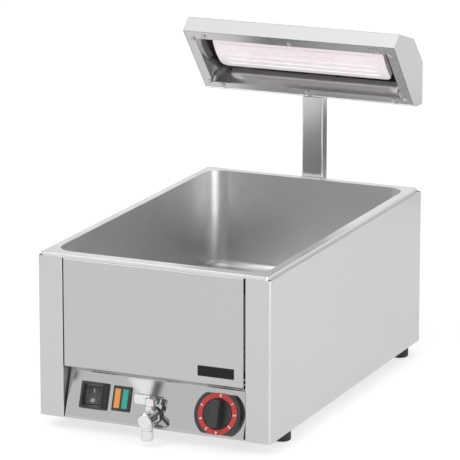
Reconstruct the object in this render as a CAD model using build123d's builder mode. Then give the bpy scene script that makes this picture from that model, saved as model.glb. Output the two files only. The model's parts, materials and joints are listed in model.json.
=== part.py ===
"""Chip warmer: a heated well in a folded steel casing, with a heat lamp hood on a rear column.

Millimetres. +Z is up, the front faces -Y, and +X is to the right seen from the front. The origin is on
the table, under the middle of the whole appliance. Heights in the casing are counted from its bottom edge.
"""
import math
import os

from build123d import *

os.makedirs("parts", exist_ok=True)

# Heated well: it takes one standard pan, and the casing is built round it
well_width = 307
well_length = 513
well_floor_z = 82
well_corner = 28
well_floor_radius = 12
side_land = 16.5
end_land = 16.5
rim_lift = 5.2
rim_side_inset = 4.5
rim_front_inset = 0.5
rim_rear_inset = 1.8
wool_thickness = 6
wool_top_gap = 24

# Casing
body_width = well_width + 2 * side_land
body_depth = well_length + 2 * end_land
body_height = 222
sheet = 1.2
gap = 0.3
strip_width = 37
slot_width = 2
cheek_depth = 24
cheek_depth_high = 8.5
corner_radius = 6
fold_radius = 2
rear_return = 14
rear_screw_low = 30
rear_screw_high = 25
base_flange = 12
vent_length = 120
vent_width = 5
vent_pitch = 22
vent_count = 9

# Feet
foot_height = 18
foot_radius = 12.5
foot_side_inset = 18
foot_front_inset = 80
foot_rear_inset = 32
foot_screw_radius = 2.5
foot_head_radius = 4.5
foot_recess = 7

# Control recess in the front panel
ledge_z = 72.5
ledge_drop = 10
recess_depth = 20
bend_z = 4

# Heater under the well
heater_radius = 4
heater_side_room = 61.5
heater_half_width = well_width / 2 - heater_side_room
heater_front = 150
heater_rear_room = 76
heater_rear = body_depth - heater_rear_room
heater_bend = 45
clamp_width = 18
clamp_thickness = 2
clamp_overhang = 22
clamp_positions = [heater_front + share * (heater_rear - heater_front) for share in (0.25, 0.75)]
stud_radius = 2.5
stud_tail = 4
nut_radius = 4.6
nut_height = 3.2

# Drain and tap
tap_z = 18.5
pipe_radius = 7.5
pipe_wall = 1.5
drain_y = 62
drain_bend = 20
spud_radius = 11
spud_flange_radius = 18
tap_reach = 28.5
tap_body_radius = 9.5
tap_flange_radius = 10.5
tap_flange_front = 2.8
tap_flange_back = 0.6
tap_bore_radius = 4.5
ball_y = 8
ball_radius = 6.8
ball_clearance = 0.3
stem_radius = 3
stem_clearance = 0.08
nozzle_y = 18.5
nozzle_neck_radius = 7.4
nozzle_step = 14.5
nozzle_drop = 28.5
nozzle_top_radius = 8
nozzle_tip_radius = 9
outlet_radius = 5.5
packing_base = 11
packing_height = 6
lever_length = 23
lever_height = 16
lever_thickness = 3
lever_lift = 14.5

# Thermostat, knob and dial, placed on the sloping fascia
knob_edge = 3.5
knob_s = 27.5
bezel_radius = 34.5
bezel_flat = 27.5
bezel_height = 8.5
ring_outer = 28
ring_inner = 21.2
ring_thickness = 1.2
knob_radius = 20
knob_seat = 3
knob_skirt = 8
knob_grip_width = 16
knob_height = 22
shaft_radius = 3
shaft_clearance = 0.08
bush_radius = 5
thermostat_size = (36, 30, 24)
bulb_radius = 3
bulb_length = 90
capillary_radius = 0.8
capillary_bend = 9

# Rocker switch and its raised frame
switch_edge = 23.5
switch_s = 30.3
switch_width = 33
switch_height = 37
frame_height = 11.7
frame_wall = 4
switch_body_size = (21, 27, 20)
rocker_width = 18
rocker_length = 24
rocker_tilt = 8
rocker_pivot = 2.5
cover_thickness = 0.8

# Twin pilot light
pilot_pitch = 40.6
pilot_s = 30.8
pilot_width = 26
pilot_height = 34
pilot_thickness = 3
lens_width = 8.5
lens_height = 26
lens_gap = 3
lens_proud = 0.8
pilot_body_depth = 14

# Column
column_width = 32
column_depth = 20
column_wall = 1.5
column_bottom_z = 30
column_corner = 2.5

# Hood: lengths in the plane of its opening (v) and square to it (w)
hood_length = body_width - 15
hood_opening = 126.3
hood_front_wall = 25.5
hood_back_depth = 59.5
hood_back_low = 25
hood_back_high = 77
hood_tilt = 50.7
hood_base_z = 346
hood_base_depth = 23
hood_lip_run = 11
hood_lip_rise = 4
strip_band = 12
strip_wide_band = 15
strip_screw_x = hood_length / 2 - 29.5
side_screw_edge = 3.5
side_screw_low = 11.5
side_screw_high = 16
low_screw_edge = 5.8
high_screw_edge = 5.2
strip_thickness = 1.2
end_flange = 10

# Reflector and ceramic emitter
reflector_depth = 40
reflector_sheet = 0.8
reflector_slope = 16
emitter_end_room = 16
emitter_width = 64
emitter_recess = 13
emitter_thickness = 9
emitter_sag = 5
emitter_corner = 11
emitter_low_v = 31
rib_radius = 2.2
rib_sink = 1
rib_count = 5
rib_pitch = 10.5
rib_end = 14
rib_slope = 22
neck_size = (38, 20)
neck_length = 14
neck_clearance = 1.5

# Leads and fastenings
clip_margin = (26, 16)
block_size = (30, 18, 14)
block_pitch = 10
block_hole = 1.6
casing_block_x = 62
casing_block_inset = 45
hood_block_x = 44
hood_block_rise = 26
hood_screw_x = 10.5
column_screw_inset = 7
column_screw_low = 14
column_screw_high = 40
lead_hole_rise = 34
lead_radius = 2.5
lead_bend = 7.2
gland_hole_radius = 8
gland_bore_radius = 4.5
gland_z = 34
gland_x = 105
gland_reach = 17
screw_radius = 2
head_radius = 3.6
head_height = 2.2

# Places worked out from the sizes above
half_width = body_width / 2
overall_depth = tap_reach + body_depth - sheet + column_depth
front_y = tap_reach - overall_depth / 2
back_y = front_y + body_depth
rear_face_y = back_y - sheet
rear_y = rear_face_y + column_depth
floor_z = foot_height
top_z = floor_z + body_height
rim_z = top_z + rim_lift
ledge_top_z = floor_z + ledge_z
ledge_in_z = ledge_top_z - ledge_drop
fascia_z = floor_z + bend_z
well_z = floor_z + well_floor_z
strip_x = half_width - strip_width
panel_half = strip_x - slot_width
knob_x = panel_half - knob_edge - bezel_radius
switch_x = switch_edge + switch_width / 2 - panel_half
pilot_x = switch_x + pilot_pitch
well_mid_y = front_y + body_depth / 2
well_front_y = well_mid_y - well_length / 2
foot_x = half_width - foot_side_inset
foot_ys = (front_y + foot_front_inset, back_y - foot_rear_inset)
axis_z = floor_z + tap_z
cheek_step_z = ledge_top_z + 4
rear_screw_x = half_width - rear_return / 2 - 0.5
rear_screw_zs = (floor_z + rear_screw_low, floor_z + body_height / 2, top_z - rear_screw_high)

fascia_angle = math.atan2(recess_depth, ledge_in_z - fascia_z)
fascia_tan = math.tan(fascia_angle)
fascia = Plane(
    origin=(0, front_y, fascia_z),
    x_dir=(1, 0, 0),
    z_dir=(0, -math.cos(fascia_angle), math.sin(fascia_angle)),
)


def on_fascia(x, s, out=0):
    """The fascia's own plane moved to the point x across, s up the slope and out from its face."""
    return Plane(origin=fascia.from_local_coords(Vector(x, s, out)), x_dir=fascia.x_dir, z_dir=fascia.z_dir)


def finish(builder, name):
    """Labels a finished piece and writes its file."""
    builder.part.label = name
    export_step(builder.part, "parts/" + name + ".step")


# Side panels: one folded sheet each, with the front strip, its inward cheek and a rear return
with BuildPart() as side_panel_right:
    with BuildSketch(Plane.XY.offset(floor_z)):
        with BuildLine():
            FilletPolyline(
                (strip_x, front_y + cheek_depth),
                (strip_x, front_y),
                (half_width, front_y),
                (half_width, back_y),
                (half_width - rear_return, back_y),
                radius=[fold_radius, corner_radius, fold_radius],
            )
            offset(amount=sheet, side=Side.LEFT)
        make_face()
    extrude(amount=body_height)
    with BuildSketch(Plane.XY.offset(top_z - sheet)):
        with Locations((half_width - sheet, well_mid_y)):
            Rectangle(
                half_width - 2 * sheet - gap - well_width / 2,
                body_depth - 2 * corner_radius,
                align=(Align.MAX, Align.CENTER),
            )
    extrude(amount=sheet)
    with BuildSketch(Plane.XY.offset(cheek_step_z)):
        with Locations((strip_x, front_y + cheek_depth_high)):
            Rectangle(2 * sheet, cheek_depth, align=(Align.CENTER, Align.MIN))
    extrude(amount=body_height, mode=Mode.SUBTRACT)
    with BuildSketch(Plane.XZ.offset(-back_y)):
        with Locations([(rear_screw_x, z) for z in rear_screw_zs]):
            Circle(screw_radius + gap / 2)
    extrude(amount=sheet, mode=Mode.SUBTRACT)
finish(side_panel_right, "side_panel_right")

with BuildPart() as side_panel_left:
    add(mirror(side_panel_right.part, about=Plane.YZ, mode=Mode.PRIVATE))
finish(side_panel_left, "side_panel_left")

# Front panel: one sheet folded into a flat face, a ledge, the sloping fascia and a bottom return
tap_hole_radius = pipe_radius + 0.5
with BuildPart() as front_panel:
    with BuildSketch(Plane.YZ):
        with BuildLine():
            FilletPolyline(
                (well_front_y - 3 * sheet, top_z),
                (front_y, top_z),
                (front_y, ledge_top_z),
                (front_y + recess_depth, ledge_in_z),
                (front_y, fascia_z),
                (front_y, floor_z),
                (front_y + base_flange, floor_z),
                radius=[fold_radius, fold_radius, fold_radius / 2, fold_radius, fold_radius],
            )
            offset(amount=sheet, side=Side.LEFT)
        make_face()
    extrude(amount=panel_half, both=True)
    with BuildSketch(on_fascia(0, 0)):
        with Locations((knob_x, knob_s)):
            Circle(bush_radius + gap)
        with Locations((switch_x, switch_s)):
            Rectangle(switch_body_size[0] + 2 * gap, switch_body_size[1] + 2 * gap)
        with Locations((pilot_x, pilot_s)):
            Rectangle(pilot_width - 4 + 2 * gap, pilot_height - 4 + 2 * gap)
    extrude(amount=2 * sheet, both=True, mode=Mode.SUBTRACT)
    with BuildSketch(Plane.XZ.offset(-front_y - recess_depth)):
        with Locations((0, axis_z)):
            Circle(tap_hole_radius)
    extrude(amount=recess_depth, mode=Mode.SUBTRACT)
finish(front_panel, "front_panel")

# Rear panel, behind the side panels' returns, with holes for the gland, the column and its lead
rear_half = half_width - fold_radius - gap
rear_bottom_z = floor_z + 2 * sheet + gap
column_x_screw = column_width / 2 - column_screw_inset
column_screw_zs = (floor_z + column_bottom_z + column_screw_low, top_z - column_screw_high)
lead_hole_z = floor_z + column_bottom_z + lead_hole_rise
lead_hole_radius = lead_radius + 3
with BuildPart() as rear_panel:
    with BuildSketch(Plane.XZ.offset(-rear_face_y)):
        with Locations((0, rear_bottom_z)):
            Rectangle(2 * rear_half, top_z - sheet - gap - rear_bottom_z, align=(Align.CENTER, Align.MIN))
        with Locations((gland_x, floor_z + gland_z)):
            Circle(gland_hole_radius + gap, mode=Mode.SUBTRACT)
        with Locations((0, lead_hole_z)):
            Circle(lead_hole_radius, mode=Mode.SUBTRACT)
        with Locations([(x, z) for x in (-column_x_screw, column_x_screw) for z in column_screw_zs]):
            Circle(screw_radius + gap / 2, mode=Mode.SUBTRACT)
        with Locations([(x, z) for x in (-rear_screw_x, rear_screw_x) for z in rear_screw_zs]):
            Circle(screw_radius + gap / 2, mode=Mode.SUBTRACT)
    extrude(amount=sheet)
finish(rear_panel, "rear_panel")

# Base plate: a shallow tray with vent slots, above the front panel's bottom return
base_z = floor_z + sheet
base_front_y = front_y + fold_radius + gap
base_rear_y = rear_face_y - sheet
base_half = half_width - sheet
base_mid_y = (base_front_y + base_rear_y) / 2
with BuildPart() as base_plate:
    with BuildSketch(Plane.XY.offset(base_z)) as base_outline:
        with Locations((0, base_mid_y)):
            Rectangle(2 * base_half, base_rear_y - base_front_y)
        fillet(base_outline.vertices().group_by(Axis.Y)[0], corner_radius)
        with Locations([(x, front_y + cheek_depth / 2) for x in (-strip_x, strip_x)]):
            Rectangle(2 * slot_width + 2 * sheet, cheek_depth + 2 * sheet, mode=Mode.SUBTRACT)
        with Locations([(x, y) for x in (-foot_x, foot_x) for y in foot_ys]):
            Circle(foot_screw_radius + gap, mode=Mode.SUBTRACT)
        with Locations((0, well_mid_y)):
            with GridLocations(0, vent_pitch, 1, vent_count):
                SlotOverall(vent_length, vent_width, mode=Mode.SUBTRACT)
    extrude(amount=sheet)
    with BuildSketch(Plane.XY.offset(base_z)):
        with Locations([(x, base_rear_y) for x in (-base_half + sheet / 2, base_half - sheet / 2)]):
            Rectangle(sheet, base_rear_y - base_front_y - corner_radius, align=(Align.CENTER, Align.MAX))
        with Locations((0, base_rear_y - sheet / 2)):
            Rectangle(2 * base_half, sheet)
    extrude(amount=base_flange)
finish(base_plate, "base_plate")

# Feet: rubber, rounded underneath, each with a sunk screw
foot_top = base_z
with BuildPart() as feet:
    with BuildSketch(Plane.XY):
        with Locations([(x, y) for x in (-foot_x, foot_x) for y in foot_ys]):
            Circle(foot_radius)
            Circle(foot_screw_radius + gap / 2, mode=Mode.SUBTRACT)
    extrude(amount=foot_top)
    fillet(feet.edges().group_by(Axis.Z)[0].filter_by(GeomType.CIRCLE).filter_by(lambda e: e.radius > 5), 2.5)
    with BuildSketch(Plane.XY):
        with Locations([(x, y) for x in (-foot_x, foot_x) for y in foot_ys]):
            Circle(foot_head_radius + gap)
    extrude(amount=foot_recess, mode=Mode.SUBTRACT)
finish(feet, "feet")

with BuildPart() as foot_screws:
    with BuildSketch(Plane.XY.offset(foot_recess - 3)):
        with Locations([(x, y) for x in (-foot_x, foot_x) for y in foot_ys]):
            Circle(foot_head_radius)
    extrude(amount=3)
    with BuildSketch(Plane.XY.offset(foot_recess)):
        with Locations([(x, y) for x in (-foot_x, foot_x) for y in foot_ys]):
            Circle(foot_screw_radius)
    extrude(amount=base_z + sheet + 6 - foot_recess)
    with BuildSketch(Plane.XY.offset(base_z + sheet)):
        with Locations([(x, y) for x in (-foot_x, foot_x) for y in foot_ys]):
            RegularPolygon(4.6, 6)
    extrude(amount=4)
finish(foot_screws, "foot_screws")

# Heated well: a deep tank and its raised rim in one drawn piece
rim_half = half_width - rim_side_inset
rim_length = body_depth - rim_front_inset - rim_rear_inset
rim_mid_y = front_y + rim_front_inset + rim_length / 2
tank_outer_width = well_width + 2 * sheet
tank_outer_length = well_length + 2 * sheet
with BuildPart() as well_tank:
    with BuildSketch(Plane.XY.offset(top_z)):
        with Locations((0, rim_mid_y)):
            RectangleRounded(2 * rim_half, rim_length, 5)
    extrude(amount=rim_lift)
    fillet(well_tank.faces().sort_by(Axis.Z)[-1].outer_wire().edges(), 1.5)
    with BuildSketch(Plane.XY.offset(top_z)):
        with Locations((0, rim_mid_y)):
            RectangleRounded(2 * (rim_half - sheet), rim_length - 2 * sheet, 5 - sheet)
    extrude(amount=rim_lift - sheet, mode=Mode.SUBTRACT)
    with BuildSketch(Plane.XY.offset(well_z - sheet)):
        with Locations((0, well_mid_y)):
            RectangleRounded(tank_outer_width, tank_outer_length, well_corner + sheet)
    extrude(amount=rim_z - well_z)
    fillet(well_tank.faces().sort_by(Axis.Z)[0].outer_wire().edges(), well_floor_radius + sheet)
with BuildPart() as well_space:
    with BuildSketch(Plane.XY.offset(well_z)):
        with Locations((0, well_mid_y)):
            RectangleRounded(well_width, well_length, well_corner)
    extrude(amount=rim_z - well_z + sheet)
    fillet(well_space.faces().sort_by(Axis.Z)[0].outer_wire().edges(), well_floor_radius)
with BuildPart() as well_tank_open:
    add(well_tank.part)
    add(well_space.part, mode=Mode.SUBTRACT)
    with Locations((0, front_y + drain_y, well_z)):
        Cylinder(spud_radius + gap, 4 * sheet, mode=Mode.SUBTRACT)
finish(well_tank_open, "well_tank")

# Mineral wool jacket around the well
with BuildPart() as well_insulation:
    with BuildSketch(Plane.XY.offset(well_z + well_floor_radius)):
        with Locations((0, well_mid_y)):
            RectangleRounded(
                tank_outer_width + 2 * wool_thickness, tank_outer_length + 2 * wool_thickness, well_corner
            )
            RectangleRounded(tank_outer_width, tank_outer_length, well_corner - 3, mode=Mode.SUBTRACT)
    extrude(amount=top_z - wool_top_gap - well_z - well_floor_radius)
finish(well_insulation, "well_insulation")

# Tubular heater, clamped up against the well's floor by two bars on welded studs
heater_z = well_z - sheet - heater_radius
with BuildPart() as tank_heater:
    with BuildLine():
        FilletPolyline(
            (-heater_half_width, front_y + heater_front, heater_z),
            (-heater_half_width, front_y + heater_rear, heater_z),
            (heater_half_width, front_y + heater_rear, heater_z),
            (heater_half_width, front_y + heater_front, heater_z),
            radius=heater_bend,
        )
    with BuildSketch(Plane.XZ.offset(-front_y - heater_front)):
        with Locations((-heater_half_width, heater_z)):
            Circle(heater_radius)
    sweep()
finish(tank_heater, "tank_heater")

clamp_z = heater_z - heater_radius - clamp_thickness
clamp_length = 2 * (heater_half_width + clamp_overhang)
with BuildPart() as heater_clamps:
    with BuildSketch(Plane.XY.offset(clamp_z)):
        with Locations([(0, front_y + y) for y in clamp_positions]):
            RectangleRounded(clamp_length, clamp_width, 3)
    extrude(amount=clamp_thickness)
    with BuildSketch(Plane.XY.offset(clamp_z - stud_tail)):
        with Locations([(0, front_y + y) for y in clamp_positions]):
            Circle(stud_radius)
    extrude(amount=well_z - sheet - clamp_z + stud_tail)
    with BuildSketch(Plane.XY.offset(clamp_z - nut_height)):
        with Locations([(0, front_y + y) for y in clamp_positions]):
            RegularPolygon(nut_radius, 6)
    extrude(amount=nut_height)
finish(heater_clamps, "heater_clamps")

# Drain: a flanged spud in the well's floor, a bent pipe and the tap on its front end
spud_tail = 16
spud_bottom_z = well_z - sheet - spud_tail
with BuildPart() as drain_spud:
    with BuildSketch(Plane.XY.offset(spud_bottom_z)):
        with Locations((0, front_y + drain_y)):
            Circle(spud_radius)
            Circle(pipe_radius + 0.05, mode=Mode.SUBTRACT)
    extrude(amount=well_z - spud_bottom_z)
    with BuildSketch(Plane.XY.offset(well_z)):
        with Locations((0, front_y + drain_y)):
            Circle(spud_flange_radius)
            Circle(pipe_radius - pipe_wall, mode=Mode.SUBTRACT)
    extrude(amount=1.5)
finish(drain_spud, "drain_spud")

with BuildPart() as drain_locknut:
    with BuildSketch(Plane.XY.offset(well_z - sheet - 7)):
        with Locations((0, front_y + drain_y)):
            RegularPolygon(16, 6)
            Circle(spud_radius + 0.05, mode=Mode.SUBTRACT)
    extrude(amount=5)
finish(drain_locknut, "drain_locknut")

with BuildPart() as drain_gasket:
    with BuildSketch(Plane.XY.offset(well_z - sheet - 2)):
        with Locations((0, front_y + drain_y)):
            Circle(spud_flange_radius - 1)
            Circle(spud_radius + 0.05, mode=Mode.SUBTRACT)
    extrude(amount=2)
finish(drain_gasket, "drain_gasket")

pipe_front_y = front_y - 0.8
with BuildPart() as drain_pipe:
    with BuildLine():
        FilletPolyline(
            (0, pipe_front_y, axis_z),
            (0, front_y + drain_y, axis_z),
            (0, front_y + drain_y, well_z - 0.3),
            radius=drain_bend,
        )
    with BuildSketch(Plane.XZ.offset(-pipe_front_y)):
        with Locations((0, axis_z)):
            Circle(pipe_radius)
            Circle(pipe_radius - pipe_wall, mode=Mode.SUBTRACT)
    sweep()
finish(drain_pipe, "drain_pipe")

# Wedge washers take up the fascia's slope on both sides, and a locknut draws the pipe up
gasket_radius = 11
fascia_y_at_axis = front_y + (axis_z - fascia_z) * fascia_tan
inner_washer_back = fascia_y_at_axis + 8
with BuildPart() as tap_gasket:
    with BuildSketch(Plane.XZ.offset(-front_y - recess_depth)):
        with Locations((0, axis_z)):
            Circle(gasket_radius)
            Circle(pipe_radius + 0.05, mode=Mode.SUBTRACT)
    extrude(amount=recess_depth - tap_flange_back)
    split(bisect_by=on_fascia(0, 0), keep=Keep.TOP)
finish(tap_gasket, "tap_gasket")

with BuildPart() as pipe_washer:
    with BuildSketch(Plane.XZ.offset(-inner_washer_back)):
        with Locations((0, axis_z)):
            Circle(gasket_radius)
            Circle(pipe_radius + 0.05, mode=Mode.SUBTRACT)
    extrude(amount=recess_depth)
    split(bisect_by=on_fascia(0, 0, -sheet), keep=Keep.BOTTOM)
finish(pipe_washer, "pipe_washer")

with BuildPart() as pipe_locknut:
    with BuildSketch(Plane.XZ.offset(-inner_washer_back - 5)):
        with Locations((0, axis_z)):
            RegularPolygon(12.5, 6)
            Circle(pipe_radius + 0.05, mode=Mode.SUBTRACT)
    extrude(amount=5)
finish(pipe_locknut, "pipe_locknut")

# Tap body: turned outside, with the ball's chamber, the waterway and the nozzle
seat_half = 6.4
tap_ball_y = front_y - ball_y
tap_nozzle_y = front_y - nozzle_y
with BuildPart() as tap_body:
    with BuildSketch(Plane.YZ):
        with BuildLine():
            Polyline(
                (front_y + tap_flange_back, axis_z),
                (front_y + tap_flange_back, axis_z + tap_flange_radius),
                (front_y - tap_flange_front, axis_z + tap_flange_radius),
                (front_y - tap_flange_front, axis_z + tap_body_radius),
                (front_y - tap_reach + 5, axis_z + tap_body_radius),
                (front_y - tap_reach + 5, axis_z),
                close=True,
            )
        make_face()
    revolve(axis=Axis((0, 0, axis_z), (0, 1, 0)))
    with BuildSketch(Plane.XY.offset(axis_z)):
        with Locations((0, tap_ball_y)):
            Circle(stem_radius + 3.6)
    extrude(amount=packing_base)
    with BuildSketch(Plane.XY.offset(axis_z - nozzle_step)):
        with Locations((0, tap_nozzle_y)):
            Circle(nozzle_neck_radius)
    extrude(amount=nozzle_step)
    with Locations((0, tap_ball_y, axis_z)):
        Sphere(ball_radius + ball_clearance, mode=Mode.SUBTRACT)
        Cylinder(ball_radius, 2 * seat_half, rotation=(90, 0, 0), mode=Mode.SUBTRACT)
        Cylinder(stem_radius + stem_clearance, 30, align=(Align.CENTER, Align.CENTER, Align.MIN), mode=Mode.SUBTRACT)
    with BuildSketch(Plane.XZ.offset(-front_y - tap_flange_back)):
        with Locations((0, axis_z)):
            Circle(tap_bore_radius)
    extrude(amount=tap_flange_back + nozzle_y, mode=Mode.SUBTRACT)
    with BuildSketch(Plane.XZ.offset(-front_y - tap_flange_back)):
        with Locations((0, axis_z)):
            Circle(pipe_radius + 0.05)
    extrude(amount=front_y + tap_flange_back - pipe_front_y, mode=Mode.SUBTRACT)
    with BuildSketch(Plane.XY.offset(axis_z - nozzle_step)):
        with Locations((0, tap_nozzle_y)):
            Circle(tap_bore_radius + 0.3)
    extrude(amount=nozzle_step + 2, mode=Mode.SUBTRACT)
    with BuildSketch(Plane.XZ.offset(-front_y + tap_reach - 5)):
        with Locations((0, axis_z)):
            Circle(tap_body_radius + 0.4)
    extrude(amount=5, mode=Mode.SUBTRACT)
finish(tap_body, "tap_body")

with BuildPart() as tap_front_cap:
    with BuildSketch(Plane.XZ.offset(-front_y + tap_reach - 5)):
        with Locations((0, axis_z)):
            Circle(tap_body_radius + 0.4)
    extrude(amount=5)
    fillet(tap_front_cap.faces().sort_by(Axis.Y)[0].edges(), 2.2)
finish(tap_front_cap, "tap_front_cap")

with BuildPart() as tap_nozzle:
    with BuildSketch(Plane.YZ):
        with BuildLine():
            Polyline(
                (tap_nozzle_y + outlet_radius, axis_z - nozzle_step),
                (tap_nozzle_y + nozzle_top_radius, axis_z - nozzle_step),
                (tap_nozzle_y + nozzle_tip_radius, axis_z - nozzle_drop + 3),
                (tap_nozzle_y + nozzle_tip_radius - 1.2, axis_z - nozzle_drop),
                (tap_nozzle_y + outlet_radius, axis_z - nozzle_drop),
                close=True,
            )
        make_face()
    revolve(axis=Axis((0, tap_nozzle_y, 0), (0, 0, 1)))
finish(tap_nozzle, "tap_nozzle")

# Ball, two seat rings, stem, packing nut and wing lever
with BuildPart() as tap_ball:
    with Locations((0, tap_ball_y, axis_z)):
        Sphere(ball_radius)
        Cylinder(tap_bore_radius, 3 * ball_radius, rotation=(0, 90, 0), mode=Mode.SUBTRACT)
        with Locations((0, 0, ball_radius)):
            Box(2.4, 3 * ball_radius, 3, mode=Mode.SUBTRACT)
finish(tap_ball, "tap_ball")

seat_inner = tap_bore_radius + 0.6
with BuildPart() as tap_seats:
    for side in (-1, 1):
        with BuildSketch(Plane.XZ.offset(-tap_ball_y - side * (seat_half - 0.6))):
            with Locations((0, axis_z)):
                Circle(ball_radius)
                Circle(seat_inner, mode=Mode.SUBTRACT)
        extrude(amount=0.6, both=True)
    with Locations((0, tap_ball_y, axis_z)):
        Sphere(ball_radius + ball_clearance, mode=Mode.SUBTRACT)
finish(tap_seats, "tap_seats")

lever_base_z = axis_z + packing_base + packing_height + gap
lever_top_z = axis_z + lever_lift + lever_height
with BuildPart() as tap_stem:
    with BuildSketch(Plane.XY.offset(axis_z + ball_radius + 0.6)):
        with Locations((0, tap_ball_y)):
            Circle(stem_radius)
    extrude(amount=lever_top_z - 6 - axis_z - ball_radius)
    with BuildSketch(Plane.XY.offset(axis_z + ball_radius - 1.4)):
        with Locations((0, tap_ball_y)):
            Rectangle(2.1, 5)
    extrude(amount=2.4)
finish(tap_stem, "tap_stem")

with BuildPart() as tap_packing_nut:
    with BuildSketch(Plane.XY.offset(axis_z + packing_base)):
        with Locations((0, tap_ball_y)):
            RegularPolygon(8, 6)
            Circle(stem_radius + stem_clearance, mode=Mode.SUBTRACT)
    extrude(amount=packing_height)
finish(tap_packing_nut, "tap_packing_nut")

with BuildPart() as tap_lever:
    with BuildSketch(Plane.XY.offset(lever_base_z)):
        with Locations((0, tap_ball_y)):
            Circle(7)
    extrude(amount=lever_top_z - 3 - lever_base_z)
    fillet(tap_lever.faces().sort_by(Axis.Z)[-1].edges(), 1.5)
    with BuildSketch(Plane.XZ.offset(-tap_ball_y)):
        with Locations((0, lever_base_z)):
            Rectangle(lever_length, lever_top_z - lever_base_z, align=(Align.MAX, Align.MIN))
    extrude(amount=lever_thickness / 2, both=True)
    fillet(tap_lever.edges().filter_by(Axis.Y).group_by(Axis.X)[0], 4)
    with Locations((0, tap_ball_y, lever_base_z)):
        Cylinder(stem_radius, lever_top_z - 5.4 - lever_base_z, align=(Align.CENTER, Align.CENTER, Align.MIN),
                 mode=Mode.SUBTRACT)
finish(tap_lever, "tap_lever")

# Knob bezel: a round plate with its top and bottom cut flat, a seat for the dial ring and a well
with BuildPart() as knob_bezel:
    with BuildSketch(on_fascia(knob_x, knob_s)):
        Circle(bezel_radius)
        Rectangle(2 * bezel_radius, 2 * bezel_flat, mode=Mode.INTERSECT)
    extrude(amount=bezel_height, taper=9)
    with BuildSketch(on_fascia(knob_x, knob_s, bezel_height)):
        Circle(ring_outer + 0.1)
    extrude(amount=-ring_thickness, mode=Mode.SUBTRACT)
    with BuildSketch(on_fascia(knob_x, knob_s, bezel_height)):
        Circle(knob_radius + 0.6)
    extrude(amount=knob_seat - 0.6 - bezel_height, mode=Mode.SUBTRACT)
    with BuildSketch(on_fascia(knob_x, knob_s)):
        Circle(bush_radius + 2.2)
    extrude(amount=bezel_height, mode=Mode.SUBTRACT)
finish(knob_bezel, "knob_bezel")

with BuildPart() as dial_ring:
    with BuildSketch(on_fascia(knob_x, knob_s, bezel_height - ring_thickness)):
        Circle(ring_outer)
        Circle(ring_inner, mode=Mode.SUBTRACT)
    extrude(amount=ring_thickness)
finish(dial_ring, "dial_ring")

with BuildPart() as control_knob:
    with BuildSketch(on_fascia(knob_x, knob_s, knob_seat)):
        Circle(knob_radius)
    extrude(amount=knob_skirt - knob_seat)
    with BuildSketch(on_fascia(knob_x, knob_s, knob_skirt)):
        RectangleRounded(knob_grip_width, 2 * knob_radius - 1, 5)
    extrude(amount=knob_height - knob_skirt, taper=6)
    fillet(control_knob.faces().sort_by(Axis(fascia.origin, fascia.z_dir))[-1].edges(), 1)
    with BuildSketch(on_fascia(knob_x, knob_s, knob_seat)):
        Circle(shaft_radius)
    extrude(amount=10, mode=Mode.SUBTRACT)
finish(control_knob, "control_knob")

# Capillary thermostat behind the fascia, with its bush, shaft, bulb and fixing screws
thermostat_face = -sheet
with BuildPart() as thermostat_body:
    with BuildSketch(on_fascia(knob_x, knob_s, thermostat_face)):
        RectangleRounded(thermostat_size[0], thermostat_size[1], 3)
    extrude(amount=-thermostat_size[2])
    with BuildSketch(on_fascia(knob_x, knob_s, thermostat_face)):
        Circle(bush_radius)
    extrude(amount=sheet + 2)
    with BuildSketch(on_fascia(knob_x, knob_s, 2)):
        Circle(shaft_radius + shaft_clearance)
    extrude(amount=-2 - sheet - 14, mode=Mode.SUBTRACT)
finish(thermostat_body, "thermostat_body")

with BuildPart() as thermostat_shaft:
    with BuildSketch(on_fascia(knob_x, knob_s, -sheet - 13)):
        Circle(shaft_radius)
    extrude(amount=sheet + 13 + knob_seat + 9.5)
finish(thermostat_shaft, "thermostat_shaft")

thermostat_top = on_fascia(knob_x, knob_s + thermostat_size[1] / 2, -sheet - thermostat_size[2] / 2)
tail_start = Vector(knob_x, thermostat_top.origin.Y, thermostat_top.origin.Z)
bulb_y = tail_start.Y + 30
bulb_z = well_z - sheet - bulb_radius
with BuildPart() as thermostat_bulb:
    with BuildLine():
        FilletPolyline(
            (tail_start.X, tail_start.Y, tail_start.Z + 0.5),
            (tail_start.X, tail_start.Y, bulb_z),
            (tail_start.X, bulb_y + 2, bulb_z),
            radius=capillary_bend,
        )
    with BuildSketch(Plane.XY.offset(tail_start.Z + 0.5)):
        with Locations((tail_start.X, tail_start.Y)):
            Circle(capillary_radius)
    sweep()
    with BuildSketch(Plane.XZ.offset(-bulb_y - bulb_length)):
        with Locations((tail_start.X, bulb_z)):
            Circle(bulb_radius)
    extrude(amount=bulb_length)
finish(thermostat_bulb, "thermostat_bulb")

# Rocker switch: body through the panel, raised frame, rocker and clear splash cover
with BuildPart() as switch_body:
    with BuildSketch(on_fascia(switch_x, switch_s, 1)):
        Rectangle(*switch_body_size[:2])
    extrude(amount=-1 - switch_body_size[2])
    with BuildSketch(on_fascia(switch_x, switch_s)):
        Rectangle(switch_body_size[0] + 1.6, switch_body_size[1] + 1.6)
    extrude(amount=1)
    with BuildSketch(on_fascia(switch_x, switch_s, 1)):
        Rectangle(rocker_width + 1, rocker_length + 1.5)
    extrude(amount=-9, mode=Mode.SUBTRACT)
finish(switch_body, "switch_body")

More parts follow.
